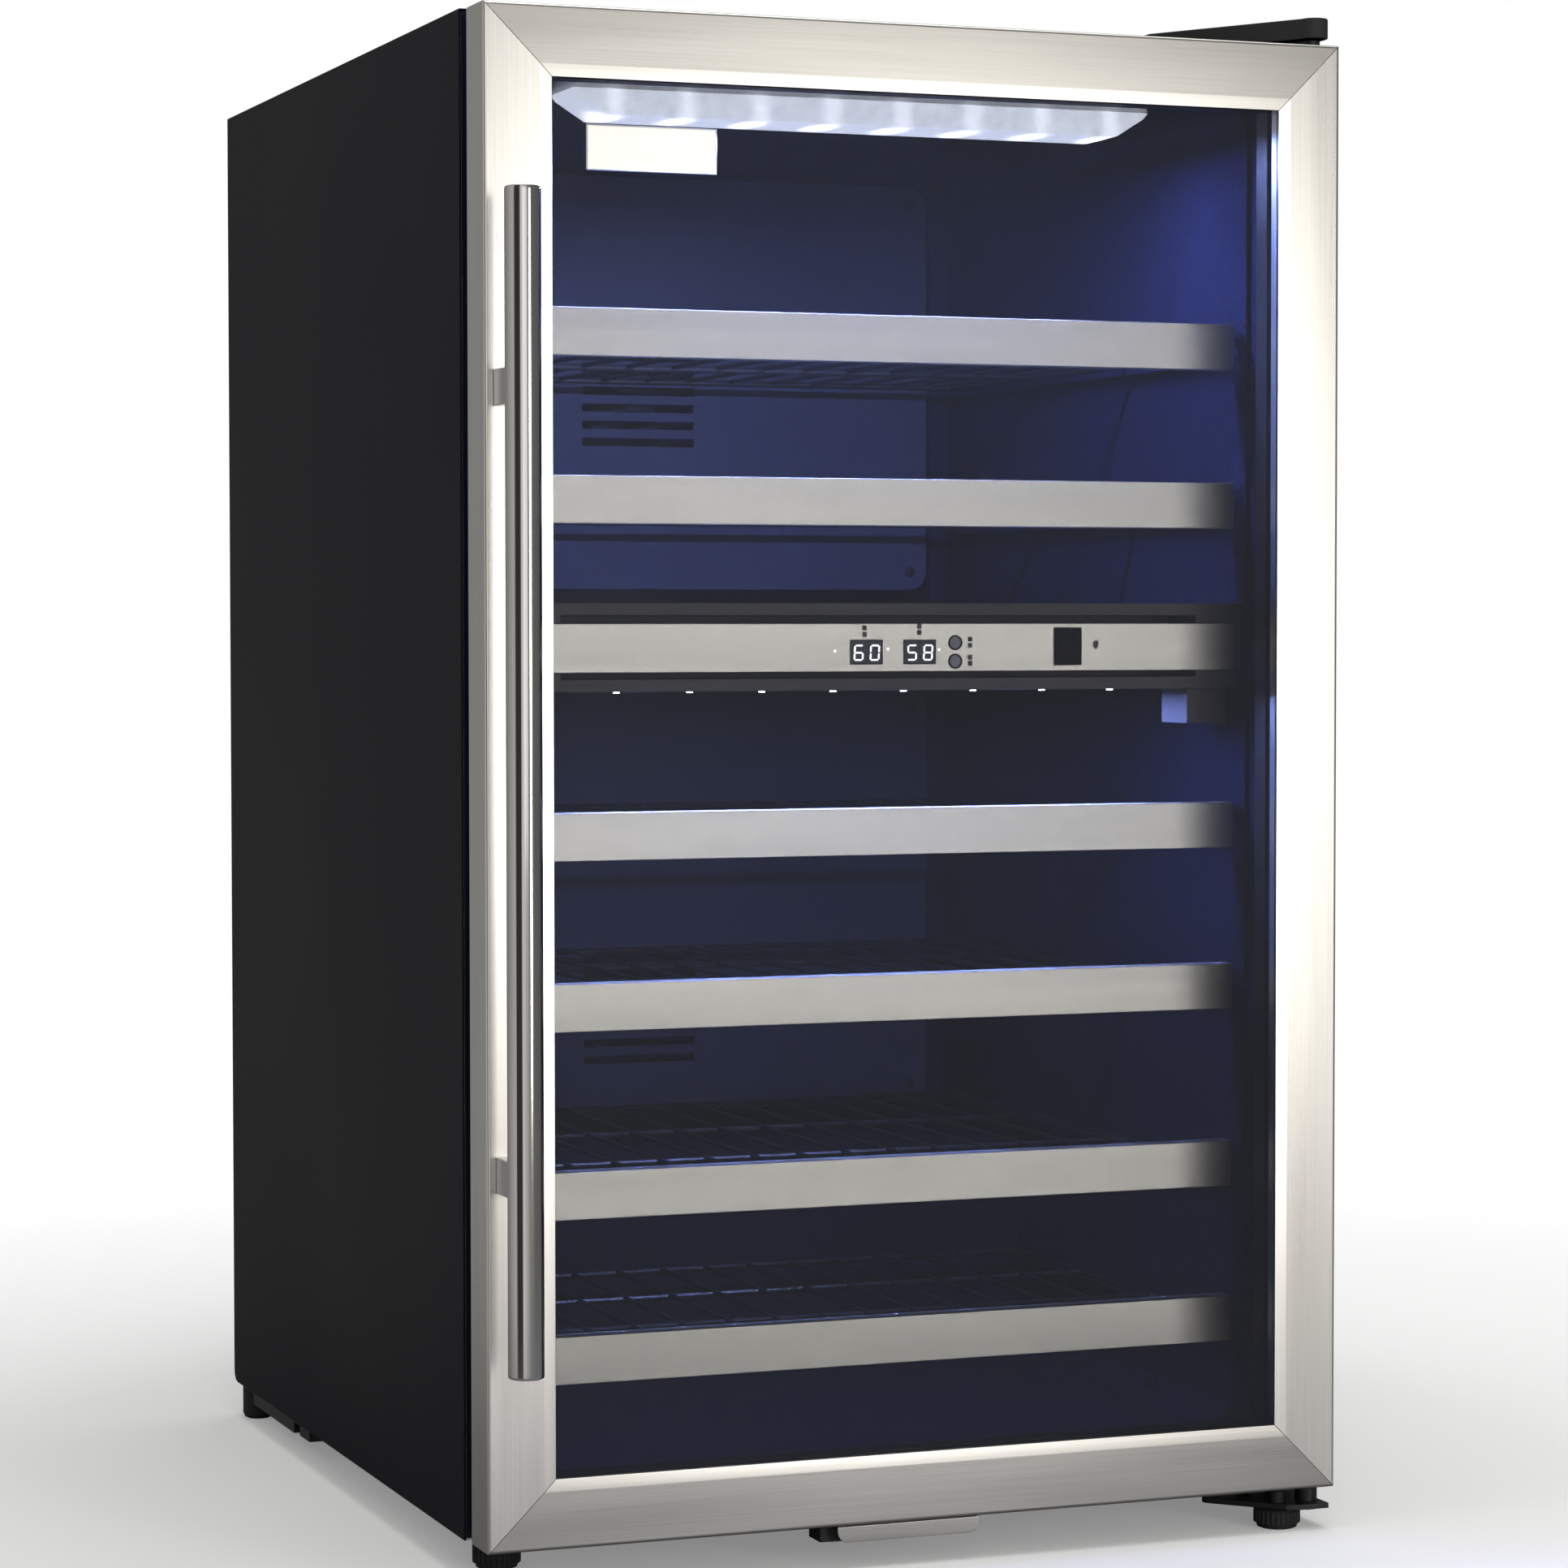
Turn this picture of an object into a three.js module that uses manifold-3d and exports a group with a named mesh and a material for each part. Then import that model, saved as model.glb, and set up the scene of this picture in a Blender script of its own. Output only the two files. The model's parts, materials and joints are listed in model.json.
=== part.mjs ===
// A free-standing two-zone wine cooler: a steel cabinet on four feet, a glazed door in a stainless
// frame on its right-hand hinges, and six pull-out bottle shelves. Millimetres, +Z up.
// Inside this file x runs from the cabinet's left side, y from the door's front face backwards and
// z from the door's bottom edge. The outer group then centres the object over its footprint.
import * as THREE from 'three';
import { mergeVertices } from 'three/addons/utils/BufferGeometryUtils.js';
import Module from 'manifold-3d';

const wasm = await Module();
wasm.setup();

// ---- Driving dimensions -------------------------------------------------------------------
const WIDTH = 500;
const DOOR_HEIGHT = 813;
const DOOR_THICKNESS = 30;
const CABINET_FRONT = 44;
const CABINET_BACK = 570;
const CABINET_BOTTOM = -1;
const CABINET_TOP = 814.5;
const FLOOR = -24;
const SHEET = 1.2;
const GAP = 0.4;

// Door: width of its frame, the flat part of that width, and how far the inner bevel drops.
const FRAME_WIDTH = 37.7;
const FRAME_FLAT = 31;
const BEVEL_DROP = 0.65;
const FRAME_LIP = 11;
const HINGE_X = 492.5;
const HINGE_Y = 20;
const PIN_RADIUS = 3;

// Handle: a round bar on two flat posts.
const BAR_RADIUS = 9.5;
const BAR_X = 9.5;
const BAR_Y = -37.5;
const BAR_LENGTH = 614;
const POST_HEIGHT = 19;
const POST_WIDTH = 9;
const POST_SPREAD = 412;

// Inner room: the black plastic liner with a step over the compressor at the back.
const ROOM = { x0: 30, x1: 470, z0: 29, z1: 782, back: 503, corner: 12 };
const LINER_WALL = 1.5;
const FLARE = 3;
const FLARE_DEPTH = 11;
const STEP_FRONT = 372;
const STEP_TOP = 160;
const MACHINE_FRONT = 400;
const MACHINE_TOP = 134;

// Shelves, counted from the top: the bottom edge of each stainless front.
const SHELF_BOTTOMS = [634.2, 543.8, 361, 268.3, 166, 76.3];
const SHELF_FRONT = 60;
const SHELF_FRONT_HEIGHT = 26;
const SHELF_X0 = 35;
const SHELF_BACK = 470;
const SHORT_SHELF_BACK = 362;
const BOTTLE_PITCH = 86;
const BAR = 4;
const WIRE = 3;
const SHELF_CELLS = 3;

// Divider between the zones, with the control strip on its front.
const DIVIDER = { front: 58, z0: 452.4, z1: 501, back: 502.4 };
const STRIP = { z0: 463, z1: 489.5, x0: 31, x1: 469 };
const DISPLAYS = [[228, 247.5], [260, 279.5]];
const DISPLAY_Z = [467, 480.5];
const BUTTON_X = 291.2;
const BUTTON_ZS = [478.9, 468.5];
const BUTTON_RADIUS = 3;
const SWITCH = { x0: 351.7, x1: 368.3, z0: 466, z1: 487.3 };
const ROCKER_TILT = 7;

// Air panels on the rear wall, and the fans behind them.
const PANEL_FRONT = 484;
const AIR_SLOT_PITCH = 11;
const FAN_Y = 488;
const FAN_DEPTH = 10;
const FAN_RADIUS = 38;
const UPPER_FAN_Z = 640;
const LOWER_FAN_Z = 240;

// Lock under the door.
const LOCK_Y = 18.5;
const CYLINDER_X = 201.5;
const BOLT_X = 219;

// Feet.
const FRONT_FOOT_RADIUS = 13.5;
const LEFT_FOOT = [28.4, 78.5];
const RIGHT_FOOT = [473.5, 19];
const REAR_FOOT_RADIUS = 10;
const REAR_FOOT_INSET = 13;
const REAR_FOOT_Y = 556;
const STUD_RADIUS = 4;

// ---- Materials ----------------------------------------------------------------------------
function finish(color, roughness, metalness, opacity = 1) {
  return new THREE.MeshStandardMaterial({ color, roughness, metalness, opacity, transparent: opacity < 1 });
}

const BRUSHED_STEEL = finish(0xc9c6c0, 0.34, 1);
const POLISHED_STEEL = finish(0xd8d8d6, 0.18, 1);
const BLACK_PAINT = finish(0x15131a, 0.42, 0.2);
const ZINC_STEEL = finish(0x9a9c9e, 0.5, 0.9);
const BLACK_STEEL = finish(0x111113, 0.45, 0.6);
const LINER_PLASTIC = finish(0x0b0c14, 0.3, 0);
const BLACK_PLASTIC = finish(0x101012, 0.5, 0);
const GREY_PLASTIC = finish(0x4a4850, 0.5, 0);
const FOAM = finish(0xe2cf9a, 0.9, 0);
const RUBBER = finish(0x0c0c0d, 0.8, 0);
const TINTED_GLASS = finish(0x1b2026, 0.05, 0, 0.35);
const LIGHT_LENS = finish(0xf2f6ff, 0.3, 0, 0.8);
const COPPER = finish(0xb46a3c, 0.35, 1);
const ALUMINIUM = finish(0xb9bcc0, 0.35, 1);

// ---- Shape helpers --------------------------------------------------------------------------
const X = new THREE.Vector3(1, 0, 0);
const Y = new THREE.Vector3(0, 1, 0);
const Z = new THREE.Vector3(0, 0, 1);
const TURN_TO = {
  x: new THREE.Matrix4().makeBasis(Y, Z, X),
  y: new THREE.Matrix4().makeBasis(Z, X, Y),
  z: new THREE.Matrix4(),
};

// A closed three.js geometry as a solid for cutting and joining. Its corners are rounded to a
// thousandth of a millimetre, so that faces meant to be flush are exactly flush.
function toSolid(geometry) {
  geometry.deleteAttribute('normal');
  geometry.deleteAttribute('uv');
  const places = geometry.attributes.position.array;
  places.forEach((value, i) => { places[i] = Math.round(value * 1000) / 1000; });
  const merged = mergeVertices(geometry, 1e-4);
  const corners = merged.index.array;
  const triangles = [];
  for (let i = 0; i < corners.length; i += 3) {
    const [a, b, c] = [corners[i], corners[i + 1], corners[i + 2]];
    if (a !== b && b !== c && c !== a) triangles.push(a, b, c);
  }
  const vertProperties = new Float32Array(merged.attributes.position.array);
  const triVerts = new Uint32Array(triangles);
  return new wasm.Manifold(new wasm.Mesh({ numProp: 3, vertProperties, triVerts }));
}

function toGeometry(solid) {
  const { vertProperties, triVerts } = solid.getMesh();
  const geometry = new THREE.BufferGeometry();
  geometry.setAttribute('position', new THREE.BufferAttribute(vertProperties, 3));
  geometry.setIndex(new THREE.BufferAttribute(triVerts, 1));
  geometry.computeVertexNormals();
  return geometry;
}

const join = (...solids) => solids.reduce((sum, solid) => sum.add(solid));
const cut = (body, ...tools) => tools.reduce((rest, tool) => rest.subtract(tool), body);

// An outline pushed along an axis. Points are [y, z] along x, [x, z] along y and [x, y] along z.
function prism(axis, points, from, to) {
  const flat = axis === 'y' ? points.map(([a, b]) => [b, a]) : points;
  const shape = new THREE.Shape(flat.map(([a, b]) => new THREE.Vector2(a, b)));
  const settings = { depth: to - from, bevelEnabled: false, curveSegments: 1 };
  const geometry = new THREE.ExtrudeGeometry(shape, settings);
  return toSolid(geometry.translate(0, 0, from).applyMatrix4(TURN_TO[axis]));
}

const rectangle = (a0, a1, b0, b1) => [[a0, b0], [a1, b0], [a1, b1], [a0, b1]];
const block = (x0, x1, y0, y1, z0, z1) => prism('z', rectangle(x0, x1, y0, y1), z0, z1);

function arc(a, b, radius, start, end, steps) {
  return Array.from({ length: steps + 1 }, (_, i) => {
    const angle = THREE.MathUtils.degToRad(start + ((end - start) * i) / steps);
    return [a + radius * Math.cos(angle), b + radius * Math.sin(angle)];
  });
}

const circle = (a, b, radius, sides) => arc(a, b, radius, 0, 360, sides).slice(0, -1);
const rod = (axis, a, b, radius, from, to, sides = 16) => prism(axis, circle(a, b, radius, sides), from, to);

function roundedRectangle(a0, a1, b0, b1, radius, steps = 4) {
  return [
    ...arc(a1 - radius, b0 + radius, radius, -90, 0, steps),
    ...arc(a1 - radius, b1 - radius, radius, 0, 90, steps),
    ...arc(a0 + radius, b1 - radius, radius, 90, 180, steps),
    ...arc(a0 + radius, b0 + radius, radius, 180, 270, steps),
  ];
}

// A body turned about a vertical axis from a profile of [radius, height] points.
function turned(profile, x, y, sides = 24) {
  const geometry = new THREE.LatheGeometry(profile.map(([r, z]) => new THREE.Vector2(r, z)), sides);
  return toSolid(geometry.rotateX(Math.PI / 2).translate(x, y, 0));
}

// ---- Cabinet --------------------------------------------------------------------------------
// Both sides and the top in one folded sheet, with the lower rear corners rounded off.
function outerWrapper() {
  const rearCorner = 7;
  const back = CABINET_BACK - 1.5;
  const fold = [
    [0, CABINET_BOTTOM], [SHEET, CABINET_BOTTOM], [SHEET, CABINET_TOP - SHEET],
    [WIDTH - SHEET, CABINET_TOP - SHEET], [WIDTH - SHEET, CABINET_BOTTOM], [WIDTH, CABINET_BOTTOM],
    [WIDTH, CABINET_TOP], [0, CABINET_TOP],
  ];
  const offcut = [
    [back + 1, CABINET_BOTTOM - 1], [back + 1, CABINET_BOTTOM + rearCorner],
    ...arc(back - rearCorner, CABINET_BOTTOM + rearCorner, rearCorner, 0, -90, 4),
    [back - rearCorner, CABINET_BOTTOM - 1],
  ];
  return cut(prism('y', fold, CABINET_FRONT, back), prism('x', offcut, -1, WIDTH + 1));
}

function backPanel() {
  return block(1.6, WIDTH - 1.6, CABINET_BACK - SHEET, CABINET_BACK, MACHINE_TOP + 16, CABINET_TOP - 1.6);
}

// One stepped sheet: the floor, the wall in front of the compressor and the roof over it.
function basePanel() {
  const floorTop = CABINET_BOTTOM + SHEET;
  const outline = [
    [46, CABINET_BOTTOM],
    [MACHINE_FRONT + SHEET, CABINET_BOTTOM],
    [MACHINE_FRONT + SHEET, MACHINE_TOP - SHEET],
    [CABINET_BACK - 1.6, MACHINE_TOP - SHEET],
    [CABINET_BACK - 1.6, MACHINE_TOP],
    [MACHINE_FRONT, MACHINE_TOP],
    [MACHINE_FRONT, floorTop],
    [46, floorTop],
  ];
  const studHole = rod('z', ...LEFT_FOOT, STUD_RADIUS + GAP, -5, 5);
  return cut(prism('x', outline, 1.6, WIDTH - 1.6), studHole);
}

// The pan that the compressor stands in, with a lug at each side of its front flange.
const PAN = { y0: 436, y1: 542, z0: -13 };

function compressorTray() {
  const flangeTop = CABINET_BOTTOM - GAP;
  const flange = block(1.6, WIDTH - 1.6, 404, CABINET_BACK - 2, flangeTop - SHEET, flangeTop);
  const pan = block(6, WIDTH - 6, PAN.y0, PAN.y1, PAN.z0, flangeTop - 0.5);
  const hollow = block(7.5, WIDTH - 7.5, PAN.y0 + 1.5, PAN.y1 - 1.5, PAN.z0 + 1.5, 0);
  const lugs = [8, WIDTH - 34].map((x) => block(x, x + 26, 406, 430, -13.5, flangeTop - 0.5));
  return cut(join(flange, pan, ...lugs), hollow);
}

function linerEnvelope(grow) {
  const wall = LINER_WALL + grow;
  const { x0, x1, z0, z1, back, corner } = ROOM;
  const outer = roundedRectangle(x0 - wall, x1 + wall, z0 - wall, z1 + wall, corner + wall);
  const body = prism('y', outer, CABINET_FRONT, back + wall);
  const overCompressor = block(0, WIDTH, STEP_FRONT + wall, CABINET_BACK, 0, STEP_TOP - wall);
  const lip = wall + FLARE;
  const mouth = roundedRectangle(x0 - lip, x1 + lip, z0 - lip, z1 + lip, corner + lip);
  const flare = prism('y', mouth, CABINET_FRONT, CABINET_FRONT + FLARE_DEPTH + wall);
  return join(cut(body, overCompressor), flare);
}

function linerRoom() {
  const { x0, x1, z0, z1, back, corner } = ROOM;
  const room = prism('y', roundedRectangle(x0, x1, z0, z1, corner), CABINET_FRONT - 1, back);
  const step = block(0, WIDTH, STEP_FRONT, CABINET_BACK, 0, STEP_TOP);
  const mouth = roundedRectangle(x0 - FLARE, x1 + FLARE, z0 - FLARE, z1 + FLARE, corner + FLARE);
  const flare = prism('y', mouth, CABINET_FRONT - 1, CABINET_FRONT + FLARE_DEPTH);
  return join(cut(room, step), flare);
}

// The ledges that each shelf's side bars slide on.
function shelfLedges() {
  return SHELF_BOTTOMS.flatMap((bottom, i) => {
    const back = shelfBack(i) + 8;
    const top = bottom + 9 - GAP;
    return [[ROOM.x0 - 1, ROOM.x0 + 7], [ROOM.x1 - 7, ROOM.x1 + 1]].map(
      ([x0, x1]) => block(x0, x1, 70, back, top - 4, top));
  });
}

// A raised wiring channel up the rear right corner of the upper zone.
function wiringChannel() {
  const outline = [
    [457, 505],
    [ROOM.x1 + 1, 505],
    ...arc(ROOM.x1 - 8, 770, 8, 0, 90, 4),
    [457, 778],
  ];
  return prism('y', outline, 490, ROOM.back + 1);
}

function liner() {
  const flange = block(1.6, WIDTH - 1.6, CABINET_FRONT, CABINET_FRONT + 1.5, 0.6, CABINET_TOP - 1.6);
  const shell = cut(join(linerEnvelope(0), flange), linerRoom());
  return join(shell, wiringChannel(), ...shelfLedges());
}

function insulation() {
  const foam = block(1.6, WIDTH - 1.6, CABINET_FRONT + 1.9, CABINET_BACK - 1.6, 0.6, CABINET_TOP - 1.6);
  const machineRoom = block(0, WIDTH, MACHINE_FRONT - GAP, CABINET_BACK, 0, MACHINE_TOP + GAP);
  const studPocket = rod('z', ...LEFT_FOOT, STUD_RADIUS + 1, 0, 12);
  return cut(foam, linerEnvelope(GAP), machineRoom, studPocket);
}

// A rear air panel on four bosses, with a block of slots in front of its fan.
function airPanel(z0, z1, fanZ) {
  const plate = prism('y', roundedRectangle(48, 452, z0, z1, 12), PANEL_FRONT, PANEL_FRONT + 1.5);
  const bosses = [60, 440].flatMap((x) => [z0 + 12, z1 - 12].map(
    (z) => rod('y', x, z, 5, PANEL_FRONT + 1, ROOM.back - GAP, 12)));
  const slots = [-3, -2, -1, 0, 1, 2, 3].map((row) => {
    const z = fanZ + row * AIR_SLOT_PITCH;
    return block(212, 288, PANEL_FRONT - 1, PANEL_FRONT + 3, z - 2.5, z + 2.5);
  });
  return cut(join(plate, ...bosses), ...slots);
}

// A finned block as one comb outline: a back plate with upright fins towards the front.
function finnedBlock(x0, x1, y0, y1, z0, z1, fins) {
  const pitch = (x1 - x0) / fins;
  const root = y1 - 3;
  const comb = Array.from({ length: fins }, (_, i) => x0 + i * pitch).flatMap(
    (x) => [[x, root], [x, y0], [x + pitch * 0.3, y0], [x + pitch * 0.3, root]]);
  return prism('z', [...comb, [x1, root], [x1, y1], [x0, y1]], z0, z1);
}

// The socket that a separate mains lead plugs into: x, y and z ranges.
const INLET = [36, 66, 545, CABINET_BACK - GAP, 30, 54];

function machineCover() {
  const plate = block(1.6, WIDTH - 1.6, CABINET_BACK - SHEET, CABINET_BACK, 1, MACHINE_TOP + 15);
  const slots = [110, 170, 230, 290, 350, 410].flatMap((x) => [32, 50, 68, 86, 104].map(
    (z) => block(x, x + 46, CABINET_BACK - 2, CABINET_BACK + 1, z, z + 7)));
  const socket = block(...INLET.map((v, i) => v + (i % 2 ? GAP : -GAP)));
  return cut(plate, socket, ...slots);
}

function mainsInlet() {
  const [x0, x1, y0, y1, z0, z1] = INLET;
  const recess = block(x0 + 4, x1 - 4, y1 - 14, y1 + 1, z0 + 4, z1 - 4);
  const blades = [43.5, 51, 58.5].map((x) => block(x - 1, x + 1, y1 - 15, y1 - 3, 40, 44));
  return join(cut(block(x0, x1, y0, y1, z0, z1), recess), ...blades);
}

function compressor() {
  const [x, y] = [370, 489];
  const shell = turned([[0, 2], [34, 2], [50, 8], [57, 20], [57, 88], [50, 104], [34, 114], [0, 118]], x, y);
  const foot = block(x - 48, x + 48, y - 46, y + 46, PAN.z0 + 1.9, PAN.z0 + 4.9);
  const legs = [-36, 36].flatMap((dx) => [-34, 34].map(
    (dy) => rod('z', x + dx, y + dy, 7, PAN.z0 + 4, 26, 12)));
  const stub = rod('y', x - 30, 70, 4, y - 75, y, 12);
  return join(shell, foot, stub, ...legs);
}

function condenser() {
  return finnedBlock(90, 290, 436, 540, 4, 116, 16);
}

// ---- Divider and controls -----------------------------------------------------------------
function dividerHousing() {
  const { front, z0, z1, back } = DIVIDER;
  const body = block(30.4, 469.6, front, back, z0, z1);
  const recess = block(0, WIDTH, front - 1, front + 2.2, STRIP.z0 - 0.3, STRIP.z1 + 0.3);
  const pocket = block(60, 440, front, front + 36, z0 + 7, z1 - 7);
  const wireCover = block(436, 461, front + 3, front + 36, z0 - 20, z0 + 1);
  const lightGroove = block(77.6, 422.4, 79.6, 110.4, z0 - 1, z0 + 3.4);
  return cut(join(body, wireCover), recess, pocket, lightGroove);
}

function controlStrip() {
  const y0 = DIVIDER.front + 0.4;
  const plate = block(STRIP.x0, STRIP.x1, y0, y0 + 1.5, STRIP.z0, STRIP.z1);
  const windows = DISPLAYS.map(([x0, x1]) => block(x0, x1, 50, 70, ...DISPLAY_Z));
  const holes = BUTTON_ZS.map((z) => rod('y', BUTTON_X, z, BUTTON_RADIUS + GAP, 50, 70));
  const switchHole = block(SWITCH.x0 + 1.6, SWITCH.x1 - 1.6, 50, 70, SWITCH.z0 + 1.6, SWITCH.z1 - 1.6);
  return cut(plate, ...windows, ...holes, switchHole);
}

// Both zones' number windows stand on one carrier behind the strip.
function zoneDisplay() {
  const y0 = DIVIDER.front + 0.7;
  const [z0, z1] = DISPLAY_Z;
  const carrier = block(222, 284, y0 + 1.6, y0 + 5, z0 - 3, z1 + 3);
  const windows = DISPLAYS.map(([x0, x1]) => block(x0 + 0.3, x1 - 0.3, y0, y0 + 2, z0 + 0.3, z1 - 0.3));
  return join(carrier, ...windows);
}

function setButton(z) {
  const front = DIVIDER.front - 0.8;
  const cap = rod('y', BUTTON_X, z, BUTTON_RADIUS, front, front + 6, 20);
  const collar = rod('y', BUTTON_X, z, BUTTON_RADIUS + 1.2, front + 3.8, front + 5, 20);
  return join(cap, collar);
}

function switchBezel() {
  const { x0, x1, z0, z1 } = SWITCH;
  const y0 = DIVIDER.front - 1;
  const rim = block(x0, x1, y0, y0 + 1.1, z0, z1);
  const body = block(x0 + 2, x1 - 2, y0 + 1, y0 + 16, z0 + 2, z1 - 2);
  const well = block(x0 + 3.4, x1 - 3.4, y0 - 1, y0 + 12, z0 + 3.2, z1 - 3.2);
  return cut(join(rim, body), well);
}

// The rocker is held at one end of its swing, with its upper half pressed in.
function switchRocker() {
  const half = 6.6;
  const outline = [[0.8, -half], [0, 0], [0.8, half], [3.4, half - 0.8], [6.4, 0], [3.4, -half + 0.8]];
  const { x0, x1, z0, z1 } = SWITCH;
  const paddle = new THREE.Mesh(toGeometry(prism('x', outline, x0 + 3.8, x1 - 3.8)), BLACK_PLASTIC);
  const pivot = [DIVIDER.front + 2.6, (z0 + z1) / 2];
  const turn = new THREE.Matrix4().makeRotationX(THREE.MathUtils.degToRad(-ROCKER_TILT));
  paddle.geometry.translate(0, -3.4, 0).applyMatrix4(turn).translate(0, pivot[0], pivot[1]);
  return paddle;
}

function topLight() {
  const [top, shoulder, bottom] = [ROOM.z1 - GAP, ROOM.z1 - 4, 767.5];
  const leftEnd = [[77, top], [80, shoulder], [97, bottom]];
  const rightEnd = leftEnd.map(([x, z]) => [WIDTH - x, z]).reverse();
  return prism('y', [...leftEnd, ...rightEnd], 86, 128);
}

const lowerLight = () => block(78, 422, 80, 110, DIVIDER.z0 + 0.2, DIVIDER.z0 + 3);

function fan(z) {
  const hub = rod('y', 250, z, 13, FAN_Y, FAN_Y + FAN_DEPTH, 20);
  const blades = Array.from({ length: 5 }, (_, i) => {
    const geometry = new THREE.BoxGeometry(FAN_RADIUS - 10, 1.6, 17);
    geometry.translate(10 + (FAN_RADIUS - 10) / 2, 0, 0).rotateX(THREE.MathUtils.degToRad(28));
    geometry.rotateY(THREE.MathUtils.degToRad(72 * i)).translate(250, FAN_Y + FAN_DEPTH / 2, z);
    return toSolid(geometry);
  });
  return join(hub, ...blades);
}

// ---- Shelves ------------------------------------------------------------------------------
const shelfBack = (index) => (index === SHELF_BOTTOMS.length - 1 ? SHORT_SHELF_BACK : SHELF_BACK);

// A folded stainless strip, open at the back.
function shelfFront(bottom) {
  const top = bottom + SHELF_FRONT_HEIGHT;
  const strip = 1;
  const rear = SHELF_FRONT + 12;
  const outline = [
    [SHELF_FRONT, bottom], [rear, bottom], [rear, bottom + strip], [SHELF_FRONT + strip, bottom + strip],
    [SHELF_FRONT + strip, top - strip], [rear, top - strip], [rear, top], [SHELF_FRONT, top],
  ];
  return prism('x', outline, SHELF_X0, WIDTH - SHELF_X0);
}

// One welded grid: side, front, middle and back bars, and lengthwise wires between the bottle places.
function shelfRack(bottom, back) {
  const z = bottom + 9;
  const front = SHELF_FRONT + 1.4;
  const left = SHELF_X0 - 0.6;
  const right = WIDTH - left;
  const wires = [-2.4, -1.5, -0.5, 0.5, 1.5, 2.4].map((step) => WIDTH / 2 + step * BOTTLE_PITCH);
  const columns = [left + BAR, ...wires.flatMap((x) => [x - WIRE / 2, x + WIRE / 2]), right - BAR];
  const cell = (back - front - BAR) / SHELF_CELLS;
  const holes = [];
  for (let column = 0; column < columns.length; column += 2) {
    for (let row = 0; row < SHELF_CELLS; row += 1) {
      const y0 = front + BAR + row * cell;
      holes.push(block(columns[column], columns[column + 1], y0, y0 + cell - BAR, z - 1, z + BAR + 1));
    }
  }
  return cut(block(left, right, front, back, z, z + BAR), ...holes);
}

// ---- Door ---------------------------------------------------------------------------------
// The folded frame section: u is measured inwards from the door's edge, y from its front face.
const FRAME_SECTION = [
  [0.8, 0], [FRAME_FLAT, 0], [FRAME_WIDTH, BEVEL_DROP], [FRAME_WIDTH, BEVEL_DROP + SHEET],
  [FRAME_FLAT, SHEET], [SHEET, SHEET], [SHEET, DOOR_THICKNESS - SHEET], [FRAME_LIP, DOOR_THICKNESS - SHEET],
  [FRAME_LIP, DOOR_THICKNESS], [0, DOOR_THICKNESS], [0, 0.8],
];
const MITRE_GAP = 0.22;

function stile(mirrored) {
  const toX = (u) => (mirrored ? WIDTH - u : u);
  const bar = prism('z', FRAME_SECTION.map(([u, y]) => [toX(u), y]), 0, DOOR_HEIGHT);
  const reach = FRAME_WIDTH + 1;
  const mitred = [
    [toX(-1), MITRE_GAP - 1], [toX(reach), MITRE_GAP + reach],
    [toX(reach), DOOR_HEIGHT - MITRE_GAP - reach], [toX(-1), DOOR_HEIGHT - MITRE_GAP + 1],
  ];
  return bar.intersect(prism('y', mitred, -1, DOOR_THICKNESS + 1));
}

function rail(atTop) {
  const toZ = (u) => (atTop ? DOOR_HEIGHT - u : u);
  const bar = prism('x', FRAME_SECTION.map(([u, y]) => [y, toZ(u)]), 0, WIDTH);
  const reach = FRAME_WIDTH + 1;
  const mitred = [
    [MITRE_GAP - 1, toZ(-1)], [MITRE_GAP + reach, toZ(reach)],
    [WIDTH - MITRE_GAP - reach, toZ(reach)], [WIDTH - MITRE_GAP + 1, toZ(-1)],
  ];
  return bar.intersect(prism('y', mitred, -1, DOOR_THICKNESS + 1));
}

const pinHole = (z0, z1) => rod('z', HINGE_X, HINGE_Y, PIN_RADIUS + GAP, z0, z1);
const boltHole = (z0, z1) => rod('z', BOLT_X, LOCK_Y, PIN_RADIUS + 1, z0, z1);
const topRail = () => cut(rail(true), pinHole(DOOR_HEIGHT - 5, DOOR_HEIGHT + 5));
const bottomRail = () => cut(rail(false), pinHole(-5, 5), boltHole(-5, 5));

const inset = (u) => rectangle(u, WIDTH - u, u, DOOR_HEIGHT - u);
const doorPane = (u, y0, y1) => prism('y', inset(u), y0, y1);
const doorRing = (u0, u1, y0, y1) => cut(doorPane(u0, y0, y1), doorPane(u1, y0 - 1, y1 + 1));

function doorInnerFrame() {
  const outer = doorRing(1.6, 17.5, 6.6, 28.4);
  const inner = doorRing(17, 36.4, 17.1, 28.4);
  const land = doorRing(FRAME_LIP + GAP, 36.4, 28, DOOR_THICKNESS);
  const pinHoles = [pinHole(-5, 18), pinHole(DOOR_HEIGHT - 18, DOOR_HEIGHT + 5)];
  return cut(join(outer, inner, land), ...pinHoles, boltHole(0, 9));
}

const outerGlass = () => doorPane(2, 2.2, 6.2);
const innerGlass = () => doorPane(18, 12.9, 16.7);
const glassSpacer = () => doorRing(22, 36, 6.5, 12.6);
const doorGasket = () => doorRing(9, 17, DOOR_THICKNESS + 0.3, CABINET_FRONT - 0.3);
const namePlate = () => prism('y', roundedRectangle(56.5, 129.2, 727.3, 751.4, 1.2, 2), 0.9, 1.9);

function handleBar() {
  const middle = DOOR_HEIGHT / 2;
  const [z0, z1] = [middle - BAR_LENGTH / 2, middle + BAR_LENGTH / 2];
  const edge = 0.8;
  const profile = [
    [0, z0], [BAR_RADIUS - edge, z0], [BAR_RADIUS, z0 + edge],
    [BAR_RADIUS, z1 - edge], [BAR_RADIUS - edge, z1], [0, z1],
  ];
  return turned(profile, BAR_X, BAR_Y, 32);
}

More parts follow.
